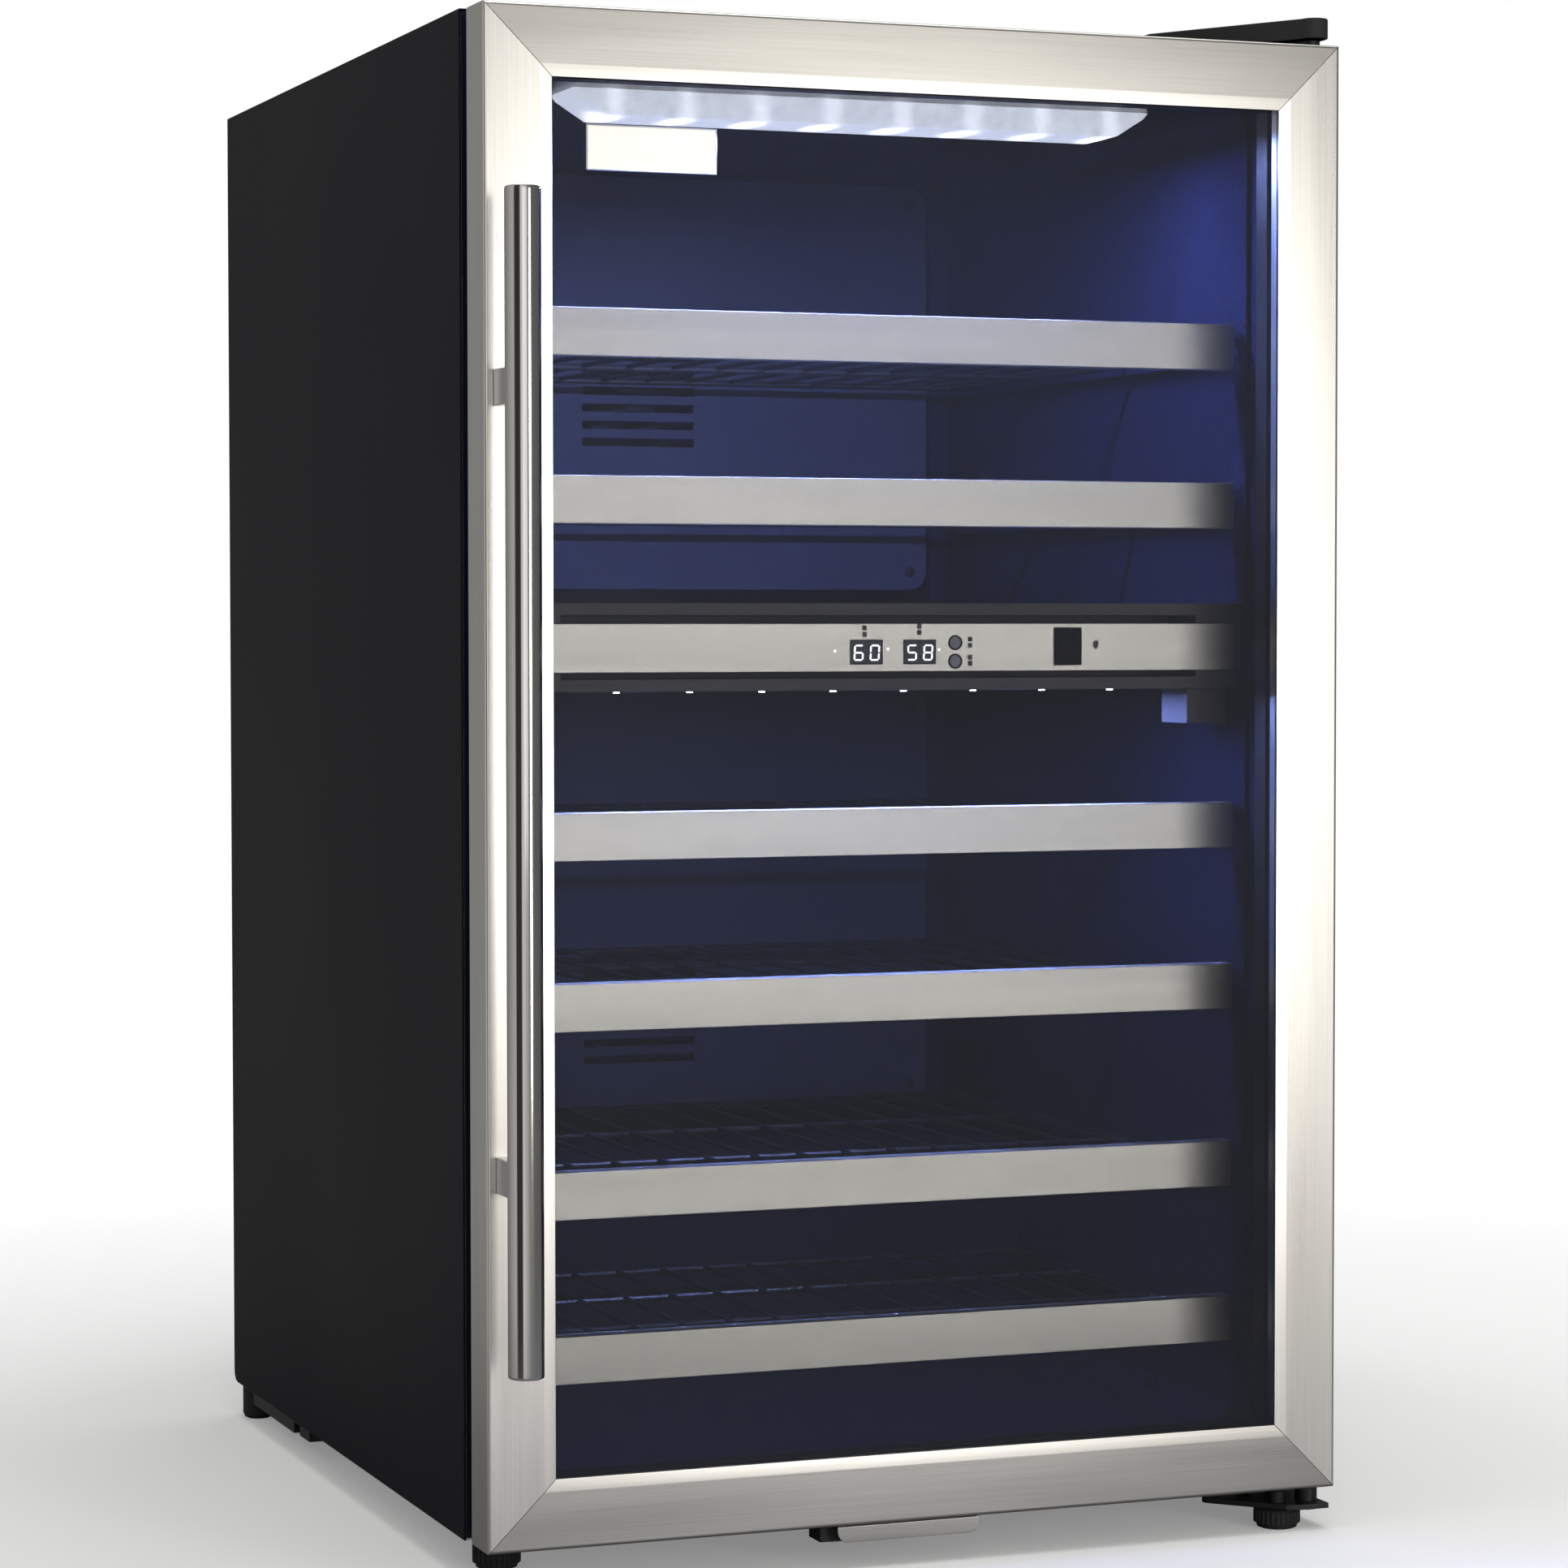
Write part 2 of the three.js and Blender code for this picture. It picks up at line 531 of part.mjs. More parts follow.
function handlePost(z) {
  const x0 = BAR_X - POST_WIDTH / 2;
  const front = BAR_Y + BAR_RADIUS + GAP;
  return block(x0, x0 + POST_WIDTH, front, -GAP, z - POST_HEIGHT / 2, z + POST_HEIGHT / 2);
}

// The stainless guard in front of the lock: it hangs below the door on a return under the rail.
function lockPlate() {
  const [x0, x1, z0, corner] = [198, 282, -9, 6];
  const outline = [
    ...arc(x0 + corner, z0 + corner, corner, 180, 270, 4),
    ...arc(x1 - corner, z0 + corner, corner, 270, 360, 4),
    [x1, -GAP], [x0, -GAP],
  ];
  return join(prism('y', outline, 1.6, 3), block(x0 + 1, x1 - 1, 2, 8, -1.6, -GAP));
}

// ---- Hinges, lock and feet ------------------------------------------------------------------
function topHingeBracket() {
  const z0 = CABINET_TOP + GAP;
  const nose = 5;
  const plate = [...arc(HINGE_X, HINGE_Y, nose, 180, 360, 8), [HINGE_X + nose, 106], [440, 106], [440, 96]];
  const pin = rod('z', HINGE_X, HINGE_Y, PIN_RADIUS, DOOR_HEIGHT - 14, z0 + 1);
  return join(prism('z', plate, z0, z0 + 2.4), pin);
}

function hingeCoverOutline(shrink) {
  const radius = 8 - shrink;
  const right = HINGE_X + 7 - shrink;
  return [
    ...arc(HINGE_X - 1, HINGE_Y - 5, radius, 180, 360, 8), [right, 114 - shrink],
    [430 + shrink, 114 - shrink], [430 + shrink, 100],
  ];
}

function topHingeCover() {
  const floor = CABINET_TOP + GAP;
  const top = 829;
  const shell = prism('z', hingeCoverOutline(0), floor, top);
  const hollow = prism('z', hingeCoverOutline(1.5), floor - 1, top - 1.6);
  const overDoor = block(400, WIDTH + 5, 0, CABINET_FRONT + 3, floor - 1, floor + 2.8);
  return cut(shell, hollow, overDoor);
}

// A cranked plate: its rear half is fixed under the cabinet and its front half drops below the door.
function bottomHingeBracket() {
  const [low, high] = [-13, -10];
  const front = [[440, 47], [440, 43], [474, 8], [484, 5.5], [499.5, 5.5], [499.5, 47]];
  const lower = prism('z', front, low, high);
  const web = block(440, 499.5, 44, 47, low, CABINET_BOTTOM - GAP);
  const upper = block(440, 499.5, 44, 100, CABINET_BOTTOM - GAP - 3, CABINET_BOTTOM - GAP);
  const pin = rod('z', HINGE_X, HINGE_Y, PIN_RADIUS, high - 1, 14);
  const bush = rod('z', HINGE_X, HINGE_Y, 6.4, high - 1, -0.6, 20);
  const nut = rod('z', HINGE_X + 1, HINGE_Y, 4.6, low - 2.6, low + 1, 6);
  const studHole = rod('z', ...RIGHT_FOOT, STUD_RADIUS + GAP, low - 1, high + 1);
  return cut(join(lower, web, upper, pin, bush, nut), studHole);
}

function lockHousing() {
  const body = block(191, 229, 10, 27, -9.8, -1);
  const arm = block(196, 224, 26, 78, -4.4, -1.5);
  const bore = rod('z', CYLINDER_X, LOCK_Y, 6.3, -11, -3);
  const boltBore = rod('z', BOLT_X, LOCK_Y, PIN_RADIUS + GAP, -11, 1);
  return cut(join(body, arm), bore, boltBore);
}

function lockCylinder() {
  const plug = rod('z', CYLINDER_X, LOCK_Y, 6, -10.8, -3.4, 20);
  return cut(plug, block(CYLINDER_X - 0.7, CYLINDER_X + 0.7, LOCK_Y - 3.6, LOCK_Y + 3.6, -12, -5));
}

const lockBolt = () => rod('z', BOLT_X, LOCK_Y, PIN_RADIUS, -9.4, -1.2);

// A ribbed round foot with its stud.
function frontFoot([x, y], bodyTop, studTop) {
  const ribs = 24;
  const rim = Array.from({ length: ribs * 2 }, (_, i) => {
    const radius = i % 2 ? FRONT_FOOT_RADIUS : FRONT_FOOT_RADIUS - 0.8;
    const angle = (Math.PI * i) / ribs;
    return [x + radius * Math.cos(angle), y + radius * Math.sin(angle)];
  });
  const neck = FRONT_FOOT_RADIUS - 0.9;
  const profile = [[0, FLOOR], [neck - 1.6, FLOOR], [neck, FLOOR + 1.6], [neck, FLOOR + 4], [0, FLOOR + 4]];
  const sole = turned(profile, x, y);
  return join(prism('z', rim, FLOOR + 2.4, bodyTop), sole, rod('z', x, y, STUD_RADIUS, bodyTop - 1, studTop));
}

function rearFoot(x) {
  const top = CABINET_BOTTOM - GAP * 2 - SHEET;
  const r = REAR_FOOT_RADIUS;
  const profile = [[0, FLOOR], [r - 3, FLOOR], [r - 0.8, FLOOR + 1.2], [r, FLOOR + 3.6], [r, top], [0, top]];
  return turned(profile, x, REAR_FOOT_Y, 20);
}

// ---- Assembly -------------------------------------------------------------------------------
const cooler = new THREE.Group();
cooler.position.set(-WIDTH / 2, -(CABINET_BACK + BAR_Y - BAR_RADIUS) / 2, -FLOOR);

function place(name, solid, material) {
  const mesh = solid.isMesh ? solid : new THREE.Mesh(toGeometry(solid), material);
  mesh.name = name;
  cooler.add(mesh);
}

place('outer_wrapper', outerWrapper(), BLACK_PAINT);
place('back_panel', backPanel(), BLACK_STEEL);
place('base_panel', basePanel(), ZINC_STEEL);
place('compressor_tray', compressorTray(), BLACK_STEEL);
place('insulation', insulation(), FOAM);
place('liner', liner(), LINER_PLASTIC);
place('upper_air_panel', airPanel(512, 778, UPPER_FAN_Z), LINER_PLASTIC);
place('lower_air_panel', airPanel(172, 446, LOWER_FAN_Z), LINER_PLASTIC);
place('evaporator', finnedBlock(130, 370, 488, 501, 320, 420, 20), ALUMINIUM);
place('machine_cover', machineCover(), ZINC_STEEL);
place('mains_inlet', mainsInlet(), BLACK_PLASTIC);
place('compressor', compressor(), BLACK_STEEL);
place('condenser', condenser(), COPPER);
place('divider_housing', dividerHousing(), GREY_PLASTIC);
place('control_strip', controlStrip(), BRUSHED_STEEL);
place('zone_display', zoneDisplay(), GREY_PLASTIC);
place('switch_bezel', switchBezel(), BLACK_PLASTIC);
place('top_light', topLight(), LIGHT_LENS);
place('lower_light', lowerLight(), LIGHT_LENS);
place('top_hinge_bracket', topHingeBracket(), BLACK_STEEL);
place('top_hinge_cover', topHingeCover(), BLACK_PLASTIC);
place('bottom_hinge_bracket', bottomHingeBracket(), BLACK_STEEL);
place('lock_housing', lockHousing(), BLACK_PLASTIC);
place('rear_foot_left', rearFoot(REAR_FOOT_INSET), BLACK_PLASTIC);
place('rear_foot_right', rearFoot(WIDTH - REAR_FOOT_INSET), BLACK_PLASTIC);

place('door_stile_left', stile(false), BRUSHED_STEEL);
place('door_stile_right', stile(true), BRUSHED_STEEL);
place('door_rail_top', topRail(), BRUSHED_STEEL);
place('door_rail_bottom', bottomRail(), BRUSHED_STEEL);
place('door_inner_frame', doorInnerFrame(), BLACK_PLASTIC);
place('door_outer_glass', outerGlass(), TINTED_GLASS);
place('glass_spacer', glassSpacer(), BLACK_PLASTIC);
place('door_inner_glass', innerGlass(), TINTED_GLASS);
place('door_gasket', doorGasket(), RUBBER);
place('handle_bar', handleBar(), POLISHED_STEEL);
place('handle_post_upper', handlePost((DOOR_HEIGHT + POST_SPREAD) / 2), BRUSHED_STEEL);
place('handle_post_lower', handlePost((DOOR_HEIGHT - POST_SPREAD) / 2), BRUSHED_STEEL);
place('name_plate', namePlate(), POLISHED_STEEL);
place('lock_plate', lockPlate(), BRUSHED_STEEL);

place('upper_set_button', setButton(BUTTON_ZS[0]), POLISHED_STEEL);
place('lower_set_button', setButton(BUTTON_ZS[1]), POLISHED_STEEL);
place('light_switch_rocker', switchRocker(), BLACK_PLASTIC);
place('upper_fan', fan(UPPER_FAN_Z), BLACK_PLASTIC);
place('lower_fan', fan(LOWER_FAN_Z), BLACK_PLASTIC);
place('lock_cylinder', lockCylinder(), POLISHED_STEEL);
place('lock_bolt', lockBolt(), ZINC_STEEL);
place('front_foot_left', frontFoot(LEFT_FOOT, -7, 8), BLACK_PLASTIC);
place('front_foot_right', frontFoot(RIGHT_FOOT, -13.4, -3), BLACK_PLASTIC);

SHELF_BOTTOMS.forEach((bottom, i) => {
  place(`shelf_${i + 1}_front`, shelfFront(bottom), BRUSHED_STEEL);
  place(`shelf_${i + 1}_rack`, shelfRack(bottom, shelfBack(i)), BLACK_STEEL);
});

export default cooler;
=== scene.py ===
"""The looks of a free-standing two-zone wine cooler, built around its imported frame.

Everything is in metres: +X to the right seen from the front, -Y out of the front of the door, +Z up.
"""
import json
import logging
import math
from collections.abc import Callable, Iterable, Sequence
from dataclasses import dataclass
from enum import Enum

import bmesh
import bpy
from bmesh.types import BMesh
from bpy.types import Mesh, NodeTree, Object
from bpy.types import NodeSocket as Socket
from mathutils import Matrix, Vector


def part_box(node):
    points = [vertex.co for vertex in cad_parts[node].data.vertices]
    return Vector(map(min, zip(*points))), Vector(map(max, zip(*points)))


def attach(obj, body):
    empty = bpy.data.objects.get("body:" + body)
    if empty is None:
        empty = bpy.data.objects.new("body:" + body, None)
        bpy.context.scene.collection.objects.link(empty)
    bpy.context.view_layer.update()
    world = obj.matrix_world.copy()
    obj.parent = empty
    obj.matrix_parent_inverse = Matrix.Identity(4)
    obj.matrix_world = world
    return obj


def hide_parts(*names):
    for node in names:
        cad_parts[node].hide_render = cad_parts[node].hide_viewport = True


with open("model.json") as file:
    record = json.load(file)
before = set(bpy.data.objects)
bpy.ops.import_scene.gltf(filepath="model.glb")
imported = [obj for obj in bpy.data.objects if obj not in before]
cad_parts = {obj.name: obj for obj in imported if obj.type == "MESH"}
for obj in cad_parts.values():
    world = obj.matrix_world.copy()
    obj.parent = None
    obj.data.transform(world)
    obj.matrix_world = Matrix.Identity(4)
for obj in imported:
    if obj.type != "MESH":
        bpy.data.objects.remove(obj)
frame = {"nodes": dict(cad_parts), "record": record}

LOG = logging.getLogger("wine_cooler")
MM = 0.001
NODES = frame["nodes"]
BODY_OF = {node: body for body, nodes in frame["record"]["behaviour"]["bodies"].items() for node in nodes}

Colour = Point = tuple[float, float, float]
Outline = list[tuple[float, float]]

MERGE = 1e-6            # points nearer than this are one point
SMOOTH_BELOW = 32.0     # edges flatter than this many degrees are shaded smooth
FLAT_BELOW = 0.4        # faces that meet at less than this many degrees become one face
ROUND_ABOVE = 30.0      # edges sharper than this many degrees are rounded over
SHARED_SHADING = 0.4    # faces whose normals have at least this dot product share their shading
LAMPS = 8               # lamps in each light bar
LAMP_PITCH = 42.6 * MM


def same(value: float) -> Point:
    """One value for all three axes or channels."""
    return (value, value, value)


# ---- Mesh helpers ---------------------------------------------------------------------------
class Axis(Enum):
    """The row axis that a shape is turned about or pushed along."""

    X = 0
    Y = 1
    Z = 2

    def place(self, a: float, b: float, along: float) -> Vector:
        """Puts two section coordinates and a place along this axis into x, y, z order."""
        point = [a, b]
        point.insert(self.value, along)
        return Vector(point)


def finish_mesh(bm: BMesh, name: str, smooth_below: float = SMOOTH_BELOW) -> Mesh:
    """Merges doubles, turns faces outwards and shades a bmesh.

    Args:
        bm: the bmesh, which is freed.
        name: the new mesh's name.
        smooth_below: edges flatter than this many degrees are shaded smooth.

    Returns:
        The finished mesh.
    """
    bmesh.ops.remove_doubles(bm, verts=bm.verts, dist=MERGE)
    bmesh.ops.recalc_face_normals(bm, faces=bm.faces)
    mesh = bpy.data.meshes.new(name)
    bm.to_mesh(mesh)
    bm.free()
    mesh.shade_smooth()
    mesh.set_sharp_from_angle(angle=math.radians(smooth_below))
    return mesh


def arc(a: float, b: float, radius: float, start: float, end: float, steps: int = 6) -> Outline:
    """Points along an arc round (a, b), from start to end in degrees."""
    angles = [math.radians(start + (end - start) * i / steps) for i in range(steps + 1)]
    return [(a + radius * math.cos(t), b + radius * math.sin(t)) for t in angles]


def rounded_rectangle(a0: float, a1: float, b0: float, b1: float, radius: float, steps: int = 6) -> Outline:
    """The outline of a rectangle whose corners are rounded."""
    return [
        *arc(a1 - radius, b0 + radius, radius, -90, 0, steps),
        *arc(a1 - radius, b1 - radius, radius, 0, 90, steps),
        *arc(a0 + radius, b1 - radius, radius, 90, 180, steps),
        *arc(a0 + radius, b0 + radius, radius, 180, 270, steps),
    ]


def add_rings(bm: BMesh, rings: Sequence[Sequence[Vector]], closed: bool = False) -> None:
    """Skins a row of rings of equal length.

    Args:
        bm: the bmesh that gets the faces.
        rings: the rings' points, in order.
        closed: True joins the last ring to the first; False caps both ends.
    """
    made = [[bm.verts.new(point) for point in ring] for ring in rings]
    pairs = list(zip(made, made[1:] + made[:1] if closed else made[1:]))
    for near, far in pairs:
        for i in range(len(near)):
            j = (i + 1) % len(near)
            bm.faces.new((near[i], near[j], far[j], far[i]))
    if not closed:
        bm.faces.new(made[0])
        bm.faces.new(made[-1])


def prism(axis: Axis, outline: Outline, low: float, high: float) -> Mesh:
    """An outline pushed along an axis.

    Args:
        axis: the axis to push along.
        outline: the section, in the order of the other two axes.
        low: where the prism starts.
        high: where it ends.

    Returns:
        The closed mesh.
    """
    bm = bmesh.new()
    add_rings(bm, [[axis.place(a, b, along) for a, b in outline] for along in (low, high)])
    return finish_mesh(bm, "prism")


def turned(profile: Outline, centre: Point, axis: Axis = Axis.Z, sides: int = 32,
           cross: Callable[[int, int], float] | None = None) -> Mesh:
    """A body turned about an axis through a point.

    Args:
        profile: (radius, height) points from one pole to the other, both on the axis.
        centre: the point that heights are counted from.
        axis: the axis of the turning.
        sides: how many steps go round.
        cross: an optional factor on the radius, from the ring's and the side's numbers.

    Returns:
        The closed mesh.
    """
    bm = bmesh.new()
    middle = Vector(centre)
    poles = [bm.verts.new(middle + axis.place(0, 0, profile[i][1])) for i in (0, -1)]
    rings = []
    for number, (radius, height) in enumerate(profile[1:-1]):
        ring = []
        for side in range(sides):
            angle = 2 * math.pi * side / sides
            reach = radius * (cross(number, side) if cross else 1.0)
            offset = axis.place(reach * math.cos(angle), reach * math.sin(angle), height)
            ring.append(bm.verts.new(middle + offset))
        rings.append(ring)
    for side in range(sides):
        after = (side + 1) % sides
        bm.faces.new((poles[0], rings[0][side], rings[0][after]))
        bm.faces.new((poles[1], rings[-1][side], rings[-1][after]))
        for near, far in zip(rings, rings[1:]):
            bm.faces.new((near[side], near[after], far[after], far[side]))
    return finish_mesh(bm, "turned")


def ring_round_door(section: Outline, low: Vector, high: Vector) -> Mesh:
    """A closed section carried round a rectangle with mitred corners.

    Args:
        section: (inset from the rectangle's edge, y) points.
        low: the rectangle's lowest corner.
        high: its highest corner.

    Returns:
        The closed mesh.
    """
    bm = bmesh.new()
    corners = ((0, 0), (1, 0), (1, 1), (0, 1))
    rings = []
    for right, up in corners:
        x, z = (high.x if right else low.x), (high.z if up else low.z)
        rings.append([Vector((x + (-u if right else u), y, z + (-u if up else u))) for u, y in section])
    add_rings(bm, rings, closed=True)
    return finish_mesh(bm, "ring")


def softened(node: str, width: float, segments: int = 2) -> Mesh:
    """A merged copy of a CAD node's mesh with its sharp edges rounded over.

    Args:
        node: the CAD node.
        width: the width of the rounding.
        segments: how many steps each edge gets.

    Returns:
        The softened mesh.
    """
    bm = bmesh.new()
    bm.from_mesh(NODES[node].data)
    bmesh.ops.remove_doubles(bm, verts=bm.verts, dist=MERGE)
    bmesh.ops.dissolve_limit(bm, angle_limit=math.radians(FLAT_BELOW), verts=bm.verts, edges=bm.edges)
    limit = math.radians(ROUND_ABOVE)
    edges = [e for e in bm.edges if len(e.link_faces) == 2 and e.calc_face_angle() > limit]
    bmesh.ops.bevel(bm, geom=edges, offset=width, segments=segments, profile=0.5,
                    affect="EDGES", clamp_overlap=True)
    mesh = finish_mesh(bm, node)
    keep_flats(mesh)
    return mesh


def keep_flats(mesh: Mesh) -> None:
    """Leans each corner's normal towards the largest face beside it, so that broad faces look flat."""
    bm = bmesh.new()
    bm.from_mesh(mesh)
    areas = [face.calc_area() for face in bm.faces]
    normals = []
    for face in bm.faces:
        for loop in face.loops:
            near = [other for other in loop.vert.link_faces if other.normal.dot(face.normal) > SHARED_SHADING]
            total = sum((other.normal * areas[other.index] for other in near), face.normal * 1e-12)
            normals.append(total.normalized())
    bm.free()
    mesh.normals_split_custom_set(normals)


def linked(name: str, data: bpy.types.ID) -> Object:
    """A new object in the scene, with this mesh, camera or lamp."""
    made = bpy.data.objects.new(name, data)
    bpy.context.scene.collection.objects.link(made)
    return made


def plain_result(carrier: Object) -> Mesh:
    """The mesh that an object's modifiers make. The object itself is removed."""
    graph = bpy.context.evaluated_depsgraph_get()
    result = bpy.data.meshes.new_from_object(carrier.evaluated_get(graph), depsgraph=graph)
    bpy.data.objects.remove(carrier)
    return result


def bored(mesh: Mesh, cutters: Sequence[Mesh]) -> Mesh:
    """A mesh with holes cut through it.

    Args:
        mesh: the closed mesh.
        cutters: closed meshes in the shape of the holes, clear of each other.

    Returns:
        The cut mesh.
    """
    body, cutter = linked("bored", mesh), linked("cutter", joined(cutters))
    hole = body.modifiers.new("Holes", "BOOLEAN")
    hole.operation, hole.solver, hole.object = "DIFFERENCE", "EXACT", cutter
    result = plain_result(body)
    bpy.data.objects.remove(cutter)
    return result


def joined(meshes: Iterable[Mesh]) -> Mesh:
    """Several meshes as one, each keeping its own closed shells."""
    bm = bmesh.new()
    for mesh in meshes:
        bm.from_mesh(mesh)
    result = bpy.data.meshes.new("joined")
    bm.to_mesh(result)
    bm.free()
    result.shade_smooth()
    result.set_sharp_from_angle(angle=math.radians(SMOOTH_BELOW))
    return result


def piece(name: str, mesh: Mesh, finish: "Finish", body: str = "cabinet",
          replaces: Sequence[str] = ()) -> Object:
    """Args:
        name: the piece's name.
        mesh: its mesh, in the row frame.
        finish: the finish it wears.
        body: the CAD body that it rides on.
        replaces: the CAD nodes that it stands for.

    Returns:
        The object.
    """
    mesh.name = name
    mesh.materials.clear()
    mesh.materials.append(finish.material())
    made = linked(name, mesh)
    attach(made, BODY_OF[replaces[0]] if replaces else body)
    if replaces:
        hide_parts(*replaces)
    LOG.info("%s: %d faces", name, len(mesh.polygons))
    return made


def refine(node: str, finish: "Finish", width: float = 0.4 * MM, segments: int = 2) -> Object:
    """Replaces a CAD node by a copy with softened edges."""
    return piece(f"{node}_fine", softened(node, width, segments), finish, replaces=(node,))


# ---- Finishes -------------------------------------------------------------------------------
class Nodes:
    """A node tree while it is being built."""

    def __init__(self, tree: NodeTree) -> None:
        """Empties the tree."""
        self.tree = tree
        tree.nodes.clear()

    def add(self, kind: str, inputs: dict | None = None, **settings: object) -> bpy.types.Node:
        """Adds a node.

        Args:
            kind: the node's type name.
            inputs: its sockets' values, or the sockets that are linked into them.
            settings: its own properties.

        Returns:
            The node.
        """
        node = self.tree.nodes.new(kind)
        for key, value in settings.items():
            setattr(node, key, value)
        for key, value in (inputs or {}).items():
            if isinstance(value, Socket):
                self.tree.links.new(value, node.inputs[key])
            else:
                node.inputs[key].default_value = value
        return node

    def math(self, operation: str, a: object, b: object = 0.0) -> Socket:
        """One step of arithmetic on two values or sockets."""
        return self.add("ShaderNodeMath", {0: a, 1: b}, operation=operation).outputs[0]


class Graph(Nodes):
    """One material's node tree."""

    def __init__(self, name: str) -> None:
        """Starts an empty material with this name."""
        self.made = bpy.data.materials.new(name)
        self.made.use_nodes = True
        super().__init__(self.made.node_tree)
        self.output = self.add("ShaderNodeOutputMaterial")
        self.place = self.add("ShaderNodeTexCoord")

    def spot(self, stretch: Point) -> Socket:
        """Object coordinates, scaled by stretch."""
        return self.add("ShaderNodeMapping", {
            "Vector": self.place.outputs["Object"], "Scale": stretch}).outputs["Vector"]

    def noise(self, stretch: Point, detail: float = 3.0, roughness: float = 0.55) -> Socket:
        """Fractal noise whose features are one unit of the stretched coordinates across."""
        return self.add("ShaderNodeTexNoise", {
            "Vector": self.spot(stretch), "Scale": 1.0, "Detail": detail, "Roughness": roughness}).outputs["Fac"]

    def span(self, value: Socket, low: float, high: float,
             start: float = 0.3, end: float = 0.7) -> Socket:
        """Maps start..end of a value to low..high, clamped."""
        return self.add("ShaderNodeMapRange", {
            "Value": value, "From Min": start, "From Max": end, "To Min": low, "To Max": high}).outputs["Result"]

    def mix(self, factor: Socket, dark: Colour, light: Colour) -> Socket:
        """Blends two colours."""
        node = self.add("ShaderNodeMix", {0: factor}, data_type="RGBA")
        node.inputs[6].default_value = (*dark, 1)
        node.inputs[7].default_value = (*light, 1)
        return node.outputs[2]

    def bump(self, height: Socket, strength: float, depth: float) -> Socket:
        """A bumped normal from a height between 0 and 1."""
        return self.add("ShaderNodeBump", {
            "Height": height, "Strength": strength, "Distance": depth}).outputs["Normal"]

    def done(self, shader: bpy.types.Node) -> bpy.types.Material:
        """Ends the tree with a shader node and returns the material."""
        self.tree.links.new(shader.outputs[0], self.output.inputs["Surface"])
        return self.made


@dataclass(frozen=True)
class Finish:
    """A surface with two tones, a roughness that varies and a fine relief.

    The grain gives features per metre along x, y and z, so unequal values make it run one way.
    """

    name: str
    dark: Colour
    light: Colour
    roughness: tuple[float, float] = (0.4, 0.5)
    metallic: float = 0.0
    grain: Point = same(900.0)
    patches: Point = same(14.0)
    relief: float = 0.15
    depth: float = 0.0001
    specular: float = 0.5
    coat: float = 0.0
    glow: float = 0.0

    def material(self) -> bpy.types.Material:
        """The material, built the first time that it is asked for."""
        return bpy.data.materials.get(self.name) or self.build()

    def build(self) -> bpy.types.Material:
        """Builds the material's nodes."""
        graph = Graph(self.name)
        fine = graph.noise(self.grain)
        broad = graph.noise(self.patches, detail=2.0)
        tone = graph.span(graph.math("ADD", graph.math("MULTIPLY", fine, 0.6), graph.math("MULTIPLY", broad, 0.4)),
                          0.0, 1.0)
        shader = graph.add("ShaderNodeBsdfPrincipled", {
            "Base Color": graph.mix(tone, self.dark, self.light),
            "Roughness": graph.span(broad, *self.roughness),
            "Metallic": self.metallic,
            "Specular IOR Level": self.specular,
            "Coat Weight": self.coat,
            "Coat Roughness": 0.12,
            "Normal": graph.bump(fine, self.relief, self.depth),
        })
        if self.glow:
            shader.inputs["Emission Color"].default_value = (*self.light, 1)
            shader.inputs["Emission Strength"].default_value = self.glow
        return graph.done(shader)


@dataclass(frozen=True)
class Spangled(Finish):
    """Zinc plate, with crystals of slightly different tones."""

    def build(self) -> bpy.types.Material:
        """Builds the material's nodes."""
        graph = Graph(self.name)
        crystals = graph.add("ShaderNodeTexVoronoi", {"Vector": graph.spot(self.patches), "Scale": 1.0})
        tone = graph.add("ShaderNodeSeparateColor", {"Color": crystals.outputs["Color"]}).outputs[0]
        fine = graph.noise(self.grain)
        return graph.done(graph.add("ShaderNodeBsdfPrincipled", {
            "Base Color": graph.mix(tone, self.dark, self.light),
            "Roughness": graph.span(tone, *self.roughness, start=0.0, end=1.0),
            "Metallic": self.metallic,
            "Normal": graph.bump(fine, self.relief, self.depth),
        }))


@dataclass(frozen=True)
class Pane(Finish):
    """Clear glass that lets light straight through, with a Fresnel gloss and a little haze."""

    haze: float = 0.03
    shine: float = 1.0

    def glass(self, graph: Graph) -> bpy.types.Node:
        """The shader of the bare glass."""
        clear = graph.add("ShaderNodeBsdfTransparent", {"Color": (*self.light, 1)})
        smear = graph.noise(self.patches, detail=3.0)
        gloss = graph.add("ShaderNodeBsdfAnisotropic", {
            "Color": (0.95, 0.97, 1.0, 1), "Roughness": graph.span(smear, *self.roughness)})
        veil = graph.add("ShaderNodeBsdfDiffuse", {"Color": (0.5, 0.52, 0.6, 1)})
        fresnel = graph.add("ShaderNodeFresnel", {"IOR": 1.45}).outputs[0]
        body = graph.add("ShaderNodeMixShader", {
            0: graph.span(smear, self.haze * 0.6, self.haze), 1: clear.outputs[0], 2: veil.outputs[0]})
        return graph.add("ShaderNodeMixShader", {
            0: graph.math("MULTIPLY", fresnel, self.shine), 1: body.outputs[0], 2: gloss.outputs[0]})

    def build(self) -> bpy.types.Material:
        """Builds the material's nodes."""
        graph = Graph(self.name)
        return graph.done(self.glass(graph))


